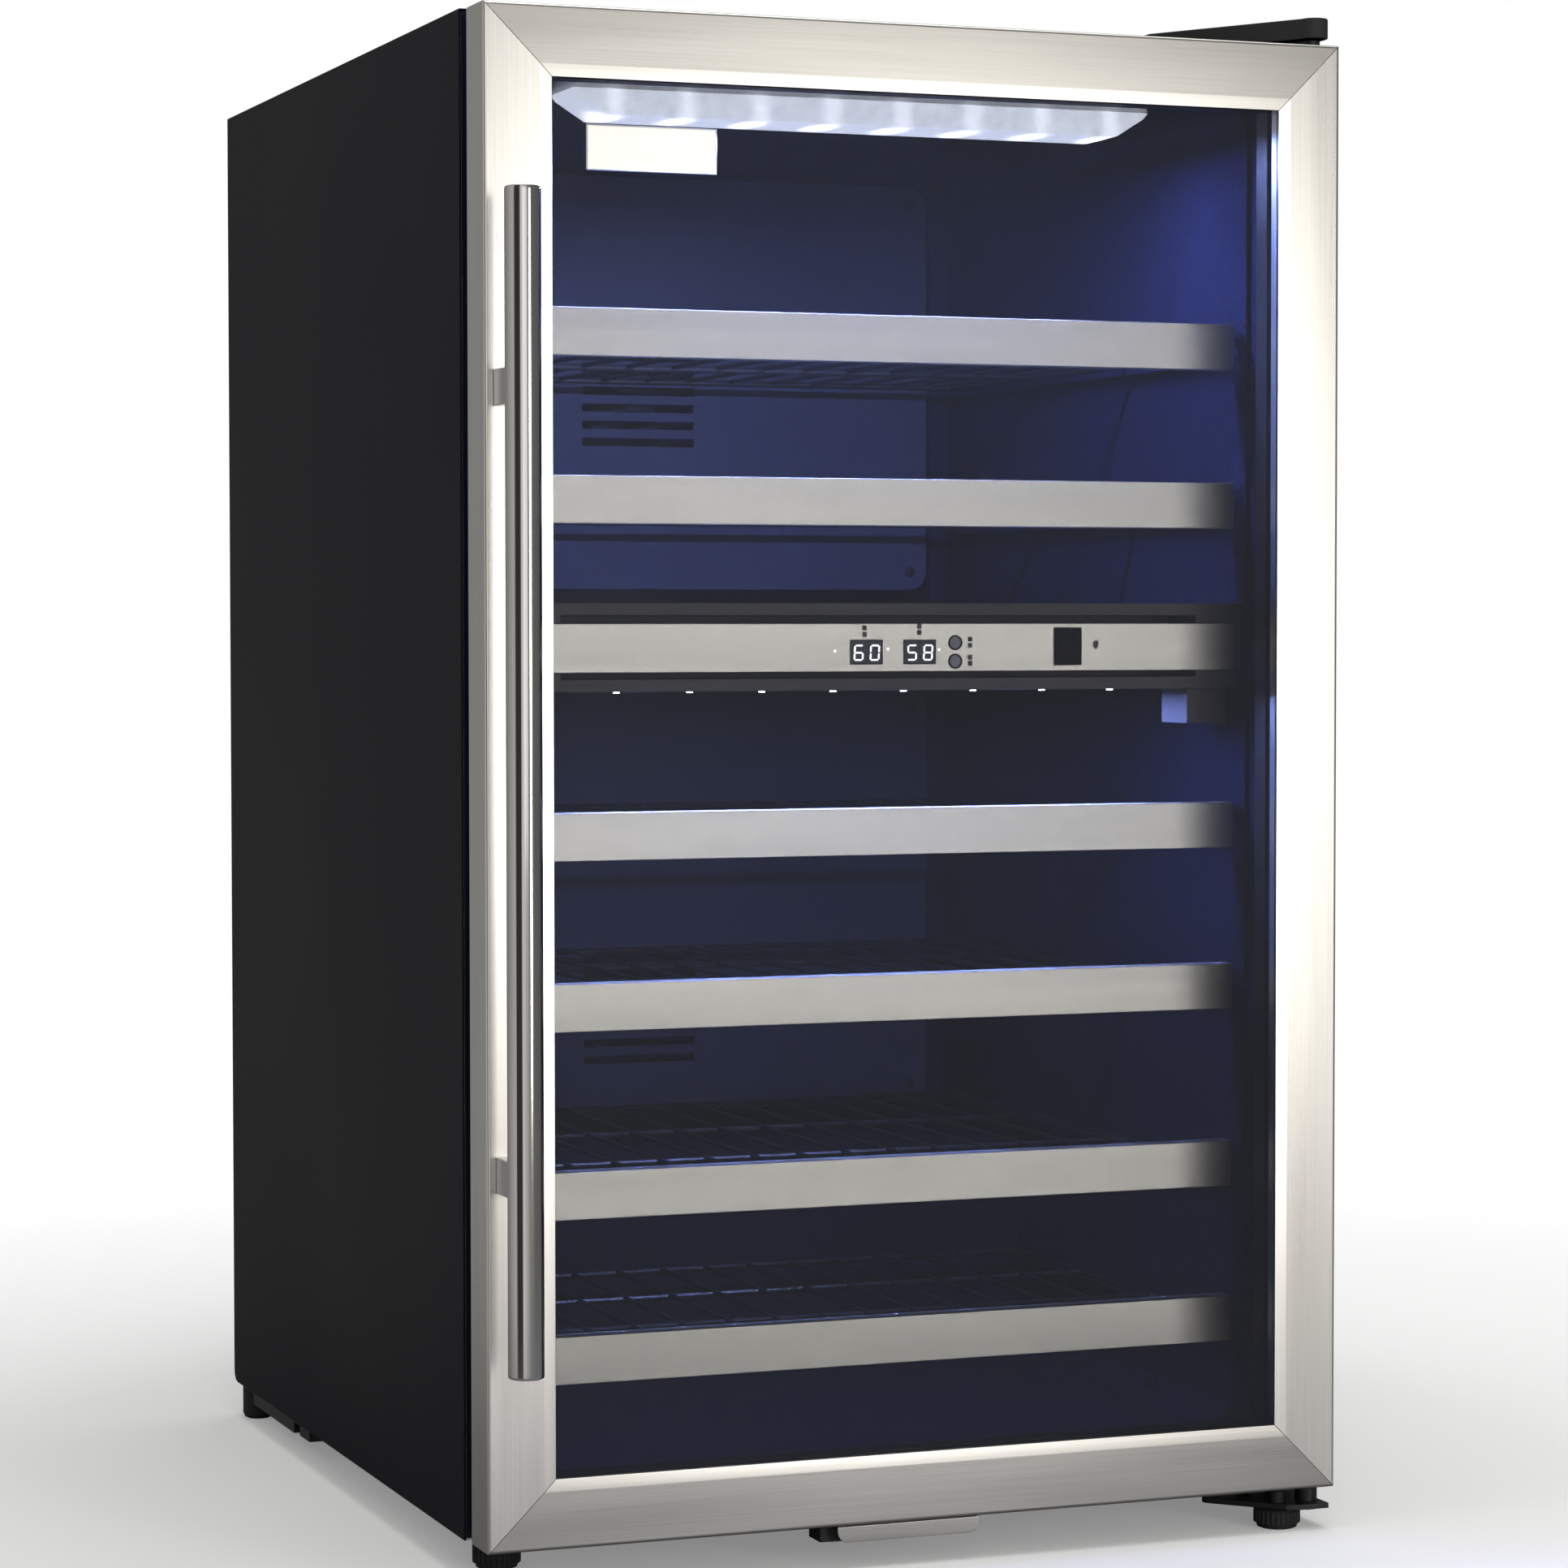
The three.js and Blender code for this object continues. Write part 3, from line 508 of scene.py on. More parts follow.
@dataclass(frozen=True)
class DottedPane(Pane):
    """Glass printed on its inner side with small dots, six round each one."""

    pitch: float = 2.0 * MM
    radius: float = 0.5 * MM

    def lattice(self, graph: Graph, shift: float) -> Socket:
        """Distance to the nearest point of a rectangular lattice, shift of a cell away on both axes."""
        row = self.pitch * math.sqrt(3)
        spread = graph.add("ShaderNodeSeparateXYZ", {0: graph.place.outputs["Object"]})
        parts = []
        for output, step in (("X", self.pitch), ("Z", row)):
            cell = graph.math("ADD", graph.math("DIVIDE", spread.outputs[output], step), shift)
            offset = graph.math("SUBTRACT", graph.math("FRACT", cell), 0.5)
            parts.append(graph.math("POWER", graph.math("MULTIPLY", offset, step), 2.0))
        return graph.math("SQRT", graph.math("ADD", *parts))

    def build(self) -> bpy.types.Material:
        """Builds the material's nodes."""
        graph = Graph(self.name)
        nearest = graph.math("MINIMUM", self.lattice(graph, 0.0), self.lattice(graph, 0.5))
        dot = graph.span(nearest, 1.0, 0.0, start=self.radius * 0.8, end=self.radius * 1.2)
        facing = graph.add("ShaderNodeSeparateXYZ", {0: graph.place.outputs["Normal"]})
        inner = graph.math("GREATER_THAN", facing.outputs["Y"], 0.5)
        ink = graph.add("ShaderNodeBsdfPrincipled", {
            "Base Color": graph.mix(graph.noise(same(300)), (0.018, 0.018, 0.022), (0.03, 0.03, 0.036)),
            "Roughness": 0.6, "Specular IOR Level": 0.1})
        return graph.done(graph.add("ShaderNodeMixShader", {
            0: graph.math("MULTIPLY", dot, inner), 1: self.glass(graph).outputs[0], 2: ink.outputs[0]}))


@dataclass(frozen=True)
class LitLens(Finish):
    """A frosted lens with lamps behind it: it glows along its length and more over each lamp."""

    node: str = "top_light"
    between: float = 2.4
    over: float = 12.0
    reach: float = 13 * MM

    def build(self) -> bpy.types.Material:
        """Builds the material's nodes."""
        graph = Graph(self.name)
        spread = graph.add("ShaderNodeSeparateXYZ", {0: graph.place.outputs["Object"]})
        low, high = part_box(self.node)
        first = (low.x + high.x) / 2 - LAMP_PITCH * (LAMPS - 1) / 2
        cell = graph.math("DIVIDE", graph.math("SUBTRACT", spread.outputs["X"], first), LAMP_PITCH)
        across = graph.math("MULTIPLY", graph.math("SUBTRACT", cell, graph.math("ROUND", cell)), LAMP_PITCH)
        along = graph.math("MULTIPLY", graph.math("SUBTRACT", spread.outputs["Y"], (low.y + high.y) / 2), 0.45)
        off = graph.math("SQRT", graph.math("ADD", graph.math("POWER", across, 2.0), graph.math("POWER", along, 2.0)))
        near = graph.math("POWER", graph.span(off, 1.0, 0.0, start=0.0, end=self.reach), 2.0)
        cloud = graph.noise(same(160))
        strength = graph.math("ADD", graph.math("MULTIPLY", near, self.over), graph.span(
            cloud, self.between * 0.8, self.between))
        return graph.done(graph.add("ShaderNodeBsdfPrincipled", {
            "Base Color": graph.mix(cloud, self.dark, self.light),
            "Roughness": graph.span(cloud, *self.roughness),
            "Emission Color": graph.mix(near, (0.84, 0.9, 1.0), (0.97, 0.98, 1.0)),
            "Emission Strength": strength,
        }))


UPRIGHT = (1500.0, 1500.0, 9.0)
SIDEWAYS = (9.0, 1500.0, 1500.0)

# Stiles and rails are one brushed steel. The rails' darker colour is painted shade, standing in for their sideways
# grain catching less light than the stiles' upright grain.
STILE_STEEL = Finish("stile_steel", (0.60, 0.585, 0.55), (0.74, 0.725, 0.69), (0.26, 0.34), 1.0, UPRIGHT,
                     (30, 30, 2.2), 0.16, 0.00006)
SHADED_RAIL_STEEL = Finish("rail_steel", (0.39, 0.382, 0.36), (0.49, 0.48, 0.455), (0.26, 0.36), 1.0, SIDEWAYS,
                    (2.2, 30, 30), 0.16, 0.00006)
SHELF_STEEL = Finish("shelf_steel", (0.72, 0.71, 0.67), (0.80, 0.79, 0.75), (0.37, 0.42), 1.0, SIDEWAYS,
                     (2.2, 30, 60), 0.14, 0.00006)
BAR_STEEL = Finish("bar_steel", (0.47, 0.465, 0.455), (0.57, 0.565, 0.55), (0.08, 0.12), 1.0,
                   (2200.0, 2200.0, 14.0), (40, 40, 2.2), 0.06, 0.00003)
POST_STEEL = Finish("post_steel", same(0.42), (0.54, 0.54, 0.535), (0.28, 0.36), 1.0, SIDEWAYS)
BADGE_STEEL = Finish("badge_steel", (0.62, 0.61, 0.57), (0.74, 0.73, 0.69), (0.3, 0.4), 1.0, SIDEWAYS,
                     (6, 30, 30), 0.12, 0.00005)
CHROME = Finish("chrome", (0.74, 0.75, 0.76), (0.82, 0.83, 0.84), (0.06, 0.1), 1.0, relief=0.03)
# The wrapper's enamel is black. Its purple tint is a painted reflection of purple-blue surroundings.
BLACK_ENAMEL_PAINTED_PURPLE_REFLECTION = Finish("black_enamel", (0.008, 0.006, 0.0105), (0.012, 0.0095, 0.016), (0.4, 0.46), 0.0,
                      same(420.0), same(3), 0.12, 0.00006, specular=0.05)
BLACK_STEEL = Finish("black_steel", (0.010, 0.010, 0.011), (0.018, 0.018, 0.020), (0.36, 0.48), 0.0,
                     same(500.0), same(20), 0.2)
BLACK_PLASTIC = Finish("black_plastic", (0.008, 0.008, 0.009), (0.014, 0.014, 0.016), (0.38, 0.5), 0.0,
                       same(1400.0), same(25), 0.25)
# The liner is black. Its navy tint is painted blue light from the light bars.
LINER_BLACK_PAINTED_BLUE_LIGHT = Finish("liner_black", (0.008, 0.010, 0.028), (0.013, 0.016, 0.044), (0.16, 0.24), 0.0,
                     same(700.0), same(9), 0.05, 0.00005, specular=0.15)
# The air panels are grey. Their blue tint is painted blue light from the light bars.
PANEL_GREY_PAINTED_BLUE_LIGHT = Finish("panel_grey", (0.055, 0.06, 0.085), (0.075, 0.08, 0.11), (0.34, 0.44), 0.0,
                    same(900.0), same(9), 0.14, specular=0.2)
DIVIDER_GREY = Finish("divider_grey", (0.075, 0.073, 0.082), (0.10, 0.098, 0.108), (0.4, 0.5), 0.0,
                      same(1200.0), same(12), 0.2)
WIRE_BLACK = Finish("wire_black", (0.010, 0.010, 0.011), (0.02, 0.02, 0.022), (0.28, 0.4), 0.0,
                    same(600.0), same(30), 0.25, coat=0.3)
GASKET_RUBBER = Finish("gasket_rubber", (0.006, 0.006, 0.007), (0.012, 0.012, 0.013), (0.62, 0.75), 0.0,
                       same(800.0), same(20), 0.3)
DOOR_PLASTIC = Finish("door_plastic", (0.005, 0.005, 0.006), (0.009, 0.009, 0.010), (0.4, 0.5), 0.0,
                      same(900.0), same(20), 0.2)
ZINC = Spangled("zinc", (0.36, 0.37, 0.38), (0.52, 0.53, 0.54), (0.36, 0.5), 0.9, patches=same(90))
COPPER = Finish("copper", (0.58, 0.27, 0.16), (0.76, 0.42, 0.27), (0.26, 0.4), 1.0, relief=0.1)
ALUMINIUM = Finish("aluminium", (0.62, 0.63, 0.65), (0.76, 0.77, 0.78), (0.3, 0.42), 1.0, relief=0.1)
FOAM = Finish("foam", (0.55, 0.42, 0.2), (0.75, 0.62, 0.36), (0.8, 0.95), 0.0, same(260), relief=0.6)
WINDOW_GREY = Finish("window_grey", (0.15, 0.16, 0.17), (0.19, 0.2, 0.215), (0.12, 0.2), 0.0, relief=0.05)
MARK_GREY = Finish("mark_grey", (0.06, 0.06, 0.058), (0.085, 0.085, 0.08), (0.5, 0.6), 0.0)
MARK_LIGHT = Finish("mark_light", (0.45, 0.45, 0.43), (0.52, 0.52, 0.5), (0.5, 0.6), 0.0)
DIGIT_WHITE = Finish("digit_white", (0.85, 0.92, 1.0), (0.9, 0.95, 1.0), (0.4, 0.5), glow=5.0)
# The buttons' faint glow is painted light, since they are no lamps.
BUTTON_WHITE_PAINTED_GLOW = Finish("button_white", (0.62, 0.63, 0.64), (0.72, 0.73, 0.74), (0.12, 0.2), 0.0,
                      relief=0.04, coat=0.5, glow=0.25)
LAMP_BLUE = Finish("lamp_blue", (0.6, 0.7, 1.0), (0.75, 0.83, 1.0), (0.4, 0.5), glow=60.0)
DOTTED_GLASS = DottedPane("dotted_glass", same(0.8), (0.985, 0.988, 0.99), (0.02, 0.05),
                          patches=same(6), haze=0.002, shine=0.05)
CLEAR_GLASS = Pane("clear_glass", same(0.8), (0.98, 0.985, 0.99), (0.02, 0.05),
                   patches=same(5), haze=0.001, shine=0.04)
TOP_LENS = LitLens("top_lens", (0.8, 0.85, 0.9), (0.9, 0.93, 0.97), (0.4, 0.5))
LOWER_LENS = LitLens("lower_lens", (0.1, 0.11, 0.14), (0.16, 0.18, 0.22), (0.3, 0.4), node="lower_light",
                     between=0.02, over=0.2)


# ---- Geometry Nodes for what repeats -----------------------------------------------------------
class Unit(Enum):
    """The shape that a row repeats."""

    ROD = "rod"
    PLATE = "plate"


class Placer(Nodes):
    """A Geometry Nodes tree with named inputs that puts a shape on points."""

    def __init__(self, name: str, inputs: dict[str, str]) -> None:
        """Starts the tree.

        Args:
            name: the tree's name.
            inputs: each input's name and kind of socket; Turn and Finish are among them.
        """
        super().__init__(bpy.data.node_groups.new(name, "GeometryNodeTree"))
        sockets = self.tree.interface
        for label, kind in inputs.items():
            sockets.new_socket(name=label, in_out="INPUT", socket_type=f"NodeSocket{kind}")
        sockets.new_socket(name="Geometry", in_out="OUTPUT", socket_type="NodeSocketGeometry")
        self.given = self.add("NodeGroupInput")

    def put(self, shape: Socket, points: Socket) -> NodeTree:
        """Puts the shape on each point, turned and dressed, and ends the tree."""
        spread = self.add("GeometryNodeInstanceOnPoints", {
            "Points": points, "Instance": shape, "Rotation": self.given.outputs["Turn"]})
        real = self.add("GeometryNodeRealizeInstances", {"Geometry": spread.outputs["Instances"]})
        dressed = self.add("GeometryNodeSetMaterial", {
            "Geometry": real.outputs["Geometry"], "Material": self.given.outputs["Finish"]})
        self.add("NodeGroupOutput", {"Geometry": dressed.outputs["Geometry"]})
        return self.tree


@dataclass
class Row:
    """A row of equal rods or plates, made by a node tree with named inputs."""

    name: str
    unit: Unit
    count: int
    start: Vector
    step: Vector
    size: Point
    turn: Point = same(0.0)
    sides: int = 10

    def tree(self) -> NodeTree:
        """The tree for this row's unit, built the first time that it is asked for."""
        name = f"row_of_{self.unit.value}s_{self.sides}"
        if made := bpy.data.node_groups.get(name):
            return made
        row = Placer(name, {"Count": "Int", "Start": "Vector", "Step": "Vector", "Size": "Vector",
                            "Turn": "Vector", "Finish": "Material"})
        given = row.given.outputs
        line = row.add("GeometryNodeMeshLine", {
            "Count": given["Count"], "Start Location": given["Start"], "Offset": given["Step"]}, mode="OFFSET")
        if self.unit is Unit.ROD:
            size = row.add("ShaderNodeSeparateXYZ", {0: given["Size"]}).outputs
            shape = row.add("GeometryNodeMeshCylinder", {
                "Vertices": self.sides, "Radius": size["X"], "Depth": size["Z"]})
        else:
            shape = row.add("GeometryNodeMeshCube", {"Size": given["Size"]})
        return row.put(shape.outputs["Mesh"], line.outputs["Mesh"])

    def mesh(self, finish: Finish) -> Mesh:
        """The row as a plain mesh."""
        return evaluated(self.name, bpy.data.meshes.new(self.name), self.tree(), {
            "Count": self.count, "Start": tuple(self.start), "Step": tuple(self.step), "Size": self.size,
            "Turn": self.turn, "Finish": finish.material()})


def evaluated(name: str, mesh: Mesh, tree: NodeTree, values: dict) -> Mesh:
    """Runs a node tree over a mesh and returns the plain result.

    Args:
        name: the result's name.
        mesh: the mesh that the tree starts from.
        tree: the node tree.
        values: the tree's inputs, by name.

    Returns:
        The resulting mesh, on no object.
    """
    carrier = linked(name, mesh)
    modifier = carrier.modifiers.new("Rows", "NODES")
    modifier.node_group = tree
    for item in tree.interface.items_tree:
        if item.in_out == "INPUT" and item.name in values:
            modifier[item.identifier] = values[item.name]
    return plain_result(carrier)


@dataclass
class Screws:
    """Pan-head screws with a cross recess, spread over given points by a node tree."""

    name: str
    radius: float = 3.4 * MM
    height: float = 1.6 * MM

    def head(self) -> Mesh:
        """One screw head, standing on its point and looking along +Z."""
        r, h = self.radius, self.height
        profile = [(0, -0.3 * h), (r * 0.98, -0.3 * h), (r, 0.1 * h), (r * 0.9, 0.62 * h), (r * 0.6, 0.96 * h),
                   (r * 0.5, h), (r * 0.42, 0.35 * h), (0, 0.3 * h)]
        arms = (1.0, 0.95, 0.34, 0.95)
        return turned(profile, same(0), sides=16, cross=lambda ring, side: arms[side % 4] if ring > 3 else 1.0)

    def tree(self) -> NodeTree:
        """The tree that puts a part on each point of a mesh."""
        if made := bpy.data.node_groups.get("part_on_points"):
            return made
        placer = Placer("part_on_points", {
            "Points": "Geometry", "Part": "Object", "Turn": "Vector", "Finish": "Material"})
        part = placer.add("GeometryNodeObjectInfo", {"Object": placer.given.outputs["Part"]})
        return placer.put(part.outputs["Geometry"], placer.given.outputs["Points"])

    def mesh(self, points: Sequence[Point], turn: Point, finish: Finish) -> Mesh:
        """Screws at points, turned by turn from looking along +Z."""
        template = linked("screw_template", self.head())
        spots = bpy.data.meshes.new(self.name)
        spots.from_pydata([tuple(point) for point in points], [], [])
        made = evaluated(self.name, spots, self.tree(), {
            "Part": template, "Turn": turn, "Finish": finish.material()})
        bpy.data.objects.remove(template)
        return made


FACE_FRONT = (math.radians(90), 0.0, 0.0)
FACE_BACK = (math.radians(-90), 0.0, 0.0)
ALONG_X = (0.0, math.radians(90), 0.0)
ALONG_Y = (math.radians(90), 0.0, 0.0)


# ---- Studio ---------------------------------------------------------------------------------
@dataclass
class Studio:
    """The camera, the pale floor and the soft lights."""

    camera_at: Point = (-0.8932, -2.3917, 0.5120)
    yaw: float = 20.815
    pitch: float = -2.12
    roll: float = -0.054
    lens: float = 97.71
    floor_radius: float = 3.0
    # Bearing in degrees, from straight in front towards the right, and how bright the screens are there.
    screens: tuple[tuple[float, float], ...] = (
        (-180, 0.22), (-150, 0.30), (-88, 0.62), (-76, 0.62), (-71, 0.05), (-37, 0.05), (-32, 0.95),
        (-5, 0.62), (20, 0.26), (45, 0.2), (100, 0.15), (180, 0.12))

    def add_camera(self) -> None:
        """Makes the camera and hands it to the scene."""
        data = bpy.data.cameras.new("camera")
        data.lens = self.lens
        data.sensor_width = 36.0
        camera = linked("camera", data)
        yaw, pitch = math.radians(self.yaw), math.radians(self.pitch)
        ahead = Vector((math.sin(yaw) * math.cos(pitch), math.cos(yaw) * math.cos(pitch), math.sin(pitch)))
        turn = ahead.to_track_quat("-Z", "Y").to_matrix().to_4x4()
        roll = Matrix.Rotation(math.radians(self.roll), 4, "Z")
        camera.matrix_world = Matrix.Translation(self.camera_at) @ turn @ roll
        bpy.context.scene.camera = camera

    def add_floor(self) -> None:
        """Makes a pale round floor that fades out into the background."""
        bm = bmesh.new()
        bmesh.ops.create_circle(bm, cap_ends=True, radius=self.floor_radius, segments=96)
        mesh = bpy.data.meshes.new("floor")
        bm.to_mesh(mesh)
        bm.free()
        graph = Graph("pale_floor")
        reach = graph.add("ShaderNodeVectorMath", {0: graph.place.outputs["Object"]}, operation="LENGTH")
        fade = graph.span(reach.outputs["Value"], 0.0, 1.0, start=0.5, end=1.3)
        seen = graph.add("ShaderNodeLightPath").outputs["Is Camera Ray"]
        pale = graph.add("ShaderNodeBsdfPrincipled", {
            "Base Color": graph.mix(seen, same(0.32), same(0.93)), "Roughness": 0.8,
            "Specular IOR Level": 0.1, "Emission Color": (1, 1, 1, 1),
            "Emission Strength": graph.math("MULTIPLY", seen, 0.22)})
        clear = graph.add("ShaderNodeBsdfTransparent")
        mesh.materials.append(graph.done(graph.add("ShaderNodeMixShader", {
            0: fade, 1: pale.outputs[0], 2: clear.outputs[0]})))
        linked("floor", mesh)

    def add_sky(self) -> None:
        """Makes the surroundings: white to look at, and softer and one-sided in what they light."""
        world = bpy.data.worlds.new("studio")
        bpy.context.scene.world = world
        world.use_nodes = True
        sky = Nodes(world.node_tree)
        ahead = sky.add("ShaderNodeSeparateXYZ", {0: sky.add("ShaderNodeTexCoord").outputs["Generated"]}).outputs
        bearing = sky.math("ARCTAN2", ahead["X"], sky.math("MULTIPLY", ahead["Y"], -1.0))
        share = sky.add("ShaderNodeMapRange", {"Value": bearing, "From Min": -math.pi, "From Max": math.pi})
        ramp = sky.add("ShaderNodeValToRGB", {0: share.outputs["Result"]})
        stops = ramp.color_ramp.elements
        stops.remove(stops[-1])
        for number, (degrees, bright) in enumerate(self.screens):
            place = degrees / 360 + 0.5
            stop = stops[0] if number == 0 else stops.new(place)
            stop.position = place
            stop.color = (*same(bright), 1)
        soft = sky.add("ShaderNodeBackground", {"Color": (1.0, 0.985, 0.96, 1), "Strength": ramp.outputs["Color"]})
        white = sky.add("ShaderNodeBackground", {"Color": (1, 1, 1, 1), "Strength": 1.0})
        chosen = sky.add("ShaderNodeMixShader", {
            0: sky.add("ShaderNodeLightPath").outputs["Is Camera Ray"], 1: soft.outputs[0], 2: white.outputs[0]})
        sky.add("ShaderNodeOutputWorld", {"Surface": chosen.outputs[0]})

    def add_lamp(self, name: str, at: Point, aim: Point, size: tuple[float, float], power: float,
                 colour: Colour = same(1.0)) -> Object:
        """Makes one rectangular lamp.

        Args:
            name: the lamp's name.
            at: its place.
            aim: the point that it looks at.
            size: its width and height.
            power: its power in watts.
            colour: its colour.

        Returns:
            The lamp.
        """
        data = bpy.data.lights.new(name, "AREA")
        data.shape = "RECTANGLE"
        data.size, data.size_y = size
        data.energy = power
        data.color = colour
        lamp = linked(name, data)
        turn = (Vector(aim) - Vector(at)).to_track_quat("-Z", "Y").to_matrix().to_4x4()
        lamp.matrix_world = Matrix.Translation(at) @ turn
        lamp.visible_camera = False
        return lamp

    def link_light(self, lamp: Object, pieces: Sequence[str], state: str) -> None:
        """Makes a lamp light nothing but some pieces, or everything but them.

        Args:
            lamp: the lamp.
            pieces: the pieces' names.
            state: INCLUDE for nothing but them, or EXCLUDE for everything but them.
        """
        group = bpy.data.collections.new(f"{lamp.name}_receivers")
        lamp.light_linking.receiver_collection = group
        for name in pieces:
            group.objects.link(bpy.data.objects[name])
        for entry in group.collection_objects:
            entry.light_linking.link_state = state

    def light(self) -> None:
        """Sets the lamps and the colour view."""
        bpy.context.scene.view_settings.view_transform = "Standard"
        middle = (0.0, 0.0, 0.42)
        key = self.add_lamp("key", (1.1, -3.1, 0.5), middle, (0.6, 1.1), 19.5, (1.0, 0.97, 0.93))
        fill = self.add_lamp("front_fill", (-0.6, -3.4, 1.0), middle, (1.6, 1.6), 6.0)
        self.add_lamp("overhead", (0.2, -0.2, 2.6), middle, (1.8, 1.8), 34.0)
        for lamp in (key, fill):    # their own shapes would show in the panes' gloss
            self.link_light(lamp, ("door_outer_glass_fine", "door_inner_glass_fine"), "EXCLUDE")
        inner = self.add_lamp("shelf_key", (0.9, -3.1, 0.3), middle, (1.8, 1.7), 165.0, (1.0, 0.985, 0.95))
        fronts = [f"shelf_{number}_front_fine" for number in range(1, 7)]
        self.link_light(inner, [*fronts, "control_strip_fine", "divider_housing_fine", "strip_squares"], "INCLUDE")


# ---- Door -----------------------------------------------------------------------------------
class Side(Enum):
    """The four sides of the door frame."""

    LEFT = "door_stile_left"
    RIGHT = "door_stile_right"
    TOP = "door_rail_top"
    BOTTOM = "door_rail_bottom"


@dataclass
class Door:
    """The door: its mitred steel frame, plastic inner frame, two panes, gasket and handle."""

    flat: float = 31 * MM
    drop: float = 0.65 * MM
    lip: float = 11 * MM
    sheet: float = 1.2 * MM
    bend: float = 1.6 * MM
    crease: float = 0.35 * MM
    mitre_gap: float = 0.22 * MM
    bar_edge: float = 0.9 * MM
    gasket_width: float = 8 * MM
    badge_edge: float = 0.9 * MM
    pin_hole: float = 3.4 * MM
    bolt_hole: float = 4 * MM

    def section(self, width: float, depth: float) -> Outline:
        """The folded steel section, as (inset from the door's edge, distance behind its front)."""
        slope = self.drop / (width - self.flat)
        return [
            (0, depth), (0, self.bend + self.crease), *arc(self.bend, self.bend, self.bend, 180, 270, 6),
            (self.bend + self.crease, 0), (self.flat - self.crease, 0), (self.flat, slope * self.crease / 2),
            (self.flat + self.crease, slope * self.crease), (width - 0.2 * MM, self.drop),
            (width, self.drop + 0.2 * MM), (width, self.drop + self.sheet),
            (self.flat, self.sheet), (self.sheet, self.sheet), (self.sheet, depth - self.sheet),
            (self.lip, depth - self.sheet), (self.lip, depth),
        ]

    def member(self, side: Side) -> Mesh:
        """One mitred member of the frame."""
        low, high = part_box(Side.LEFT.value)
        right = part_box(Side.RIGHT.value)[1].x
        section = self.section(high.x - low.x, high.y - low.y)
        bm = bmesh.new()
        rings = []
        for at_end in (False, True):
            ring = []
            for u, back in section:
                y = low.y + back
                if side in (Side.LEFT, Side.RIGHT):
                    x = low.x + u if side is Side.LEFT else right - u
                    z = high.z - u - self.mitre_gap if at_end else low.z + u + self.mitre_gap
                else:
                    x = right - u - self.mitre_gap if at_end else low.x + u + self.mitre_gap
                    z = high.z - u if side is Side.TOP else low.z + u
                ring.append(Vector((x, y, z)))
            rings.append(ring)
        low_z, high_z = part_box(side.value)[0].z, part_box(side.value)[1].z
        for ring in rings:
            for point in ring:
                point.z = min(max(point.z, low_z), high_z)
        add_rings(bm, rings)
        mesh = finish_mesh(bm, side.value, smooth_below=20.0)
        if side in (Side.LEFT, Side.RIGHT):
            return mesh
        return bored(mesh, self.pin_holes(side))

    def pin_holes(self, side: Side) -> list[Mesh]:
        """Cutters for the hinge pin's hole in a rail and, in the bottom one, the lock bolt's.

        Args:
            side: the rail.

        Returns:
            The cutters.
        """
        low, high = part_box(side.value)
        joints = {joint["name"]: joint for joint in frame["record"]["behaviour"]["joints"]}
        spots = [(joints["door_hinge"]["pos_m"], self.pin_hole)]
        if side is Side.BOTTOM:
            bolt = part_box("lock_bolt")
            spots.append(((bolt[0] + bolt[1]) / 2, self.bolt_hole))
        z = high.z if side is Side.TOP else low.z
        return [prism(Axis.Z, arc(spot[0], spot[1], radius, 0, 345, 24), z - 5 * MM, z + 5 * MM)
                for spot, radius in spots]

    def gasket(self) -> Mesh:
        """The magnetic gasket: a flat foot, a bellows and a wider face towards the cabinet."""
        low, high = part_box("door_gasket")
        width = self.gasket_width
        depth = high.y - low.y
        half = [(1.0, 0.0), (0.55, 0.12), (0.62, 0.3), (0.4, 0.45), (0.62, 0.6), (1.0, 0.7), (0.95, 1.0)]
        section = [((0.5 - share / 2) * width, low.y + t * depth) for share, t in half]
        section += [((0.5 + share / 2) * width, low.y + t * depth) for share, t in reversed(half)]
        return ring_round_door(section, low, high)

    def handle_bar(self) -> Mesh:
        """The round bar, with small chamfers and slightly dished ends."""
        low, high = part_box("handle_bar")
        radius = (high.x - low.x) / 2
        middle = ((low.x + high.x) / 2, (low.y + high.y) / 2, 0)
        edge = self.bar_edge
        foot = [(0, low.z + edge * 0.4), (radius * 0.6, low.z + edge * 0.15), (radius - edge * 1.4, low.z),
                (radius - edge, low.z + 0.02 * MM), (radius - edge * 0.25, low.z + edge * 0.55),
                (radius, low.z + edge * 1.4), (radius, low.z + edge * 2)]
        head = [(r, low.z + high.z - z) for r, z in reversed(foot)]
        return turned([*foot, *head], middle, sides=72)

    def badge_rim(self) -> Mesh:
        """The raised rim round the blank name plate."""
        low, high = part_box("name_plate")
        rim = self.badge_edge
        section = [(0, high.y), (0, low.y + 0.1 * MM), (rim * 0.3, low.y - 0.25 * MM),
                   (rim * 0.7, low.y - 0.25 * MM), (rim, low.y + 0.1 * MM), (rim, high.y)]
        return ring_round_door(section, low, high)

    def build(self) -> None:
        """Makes and dresses the door's pieces."""
        for side in Side:
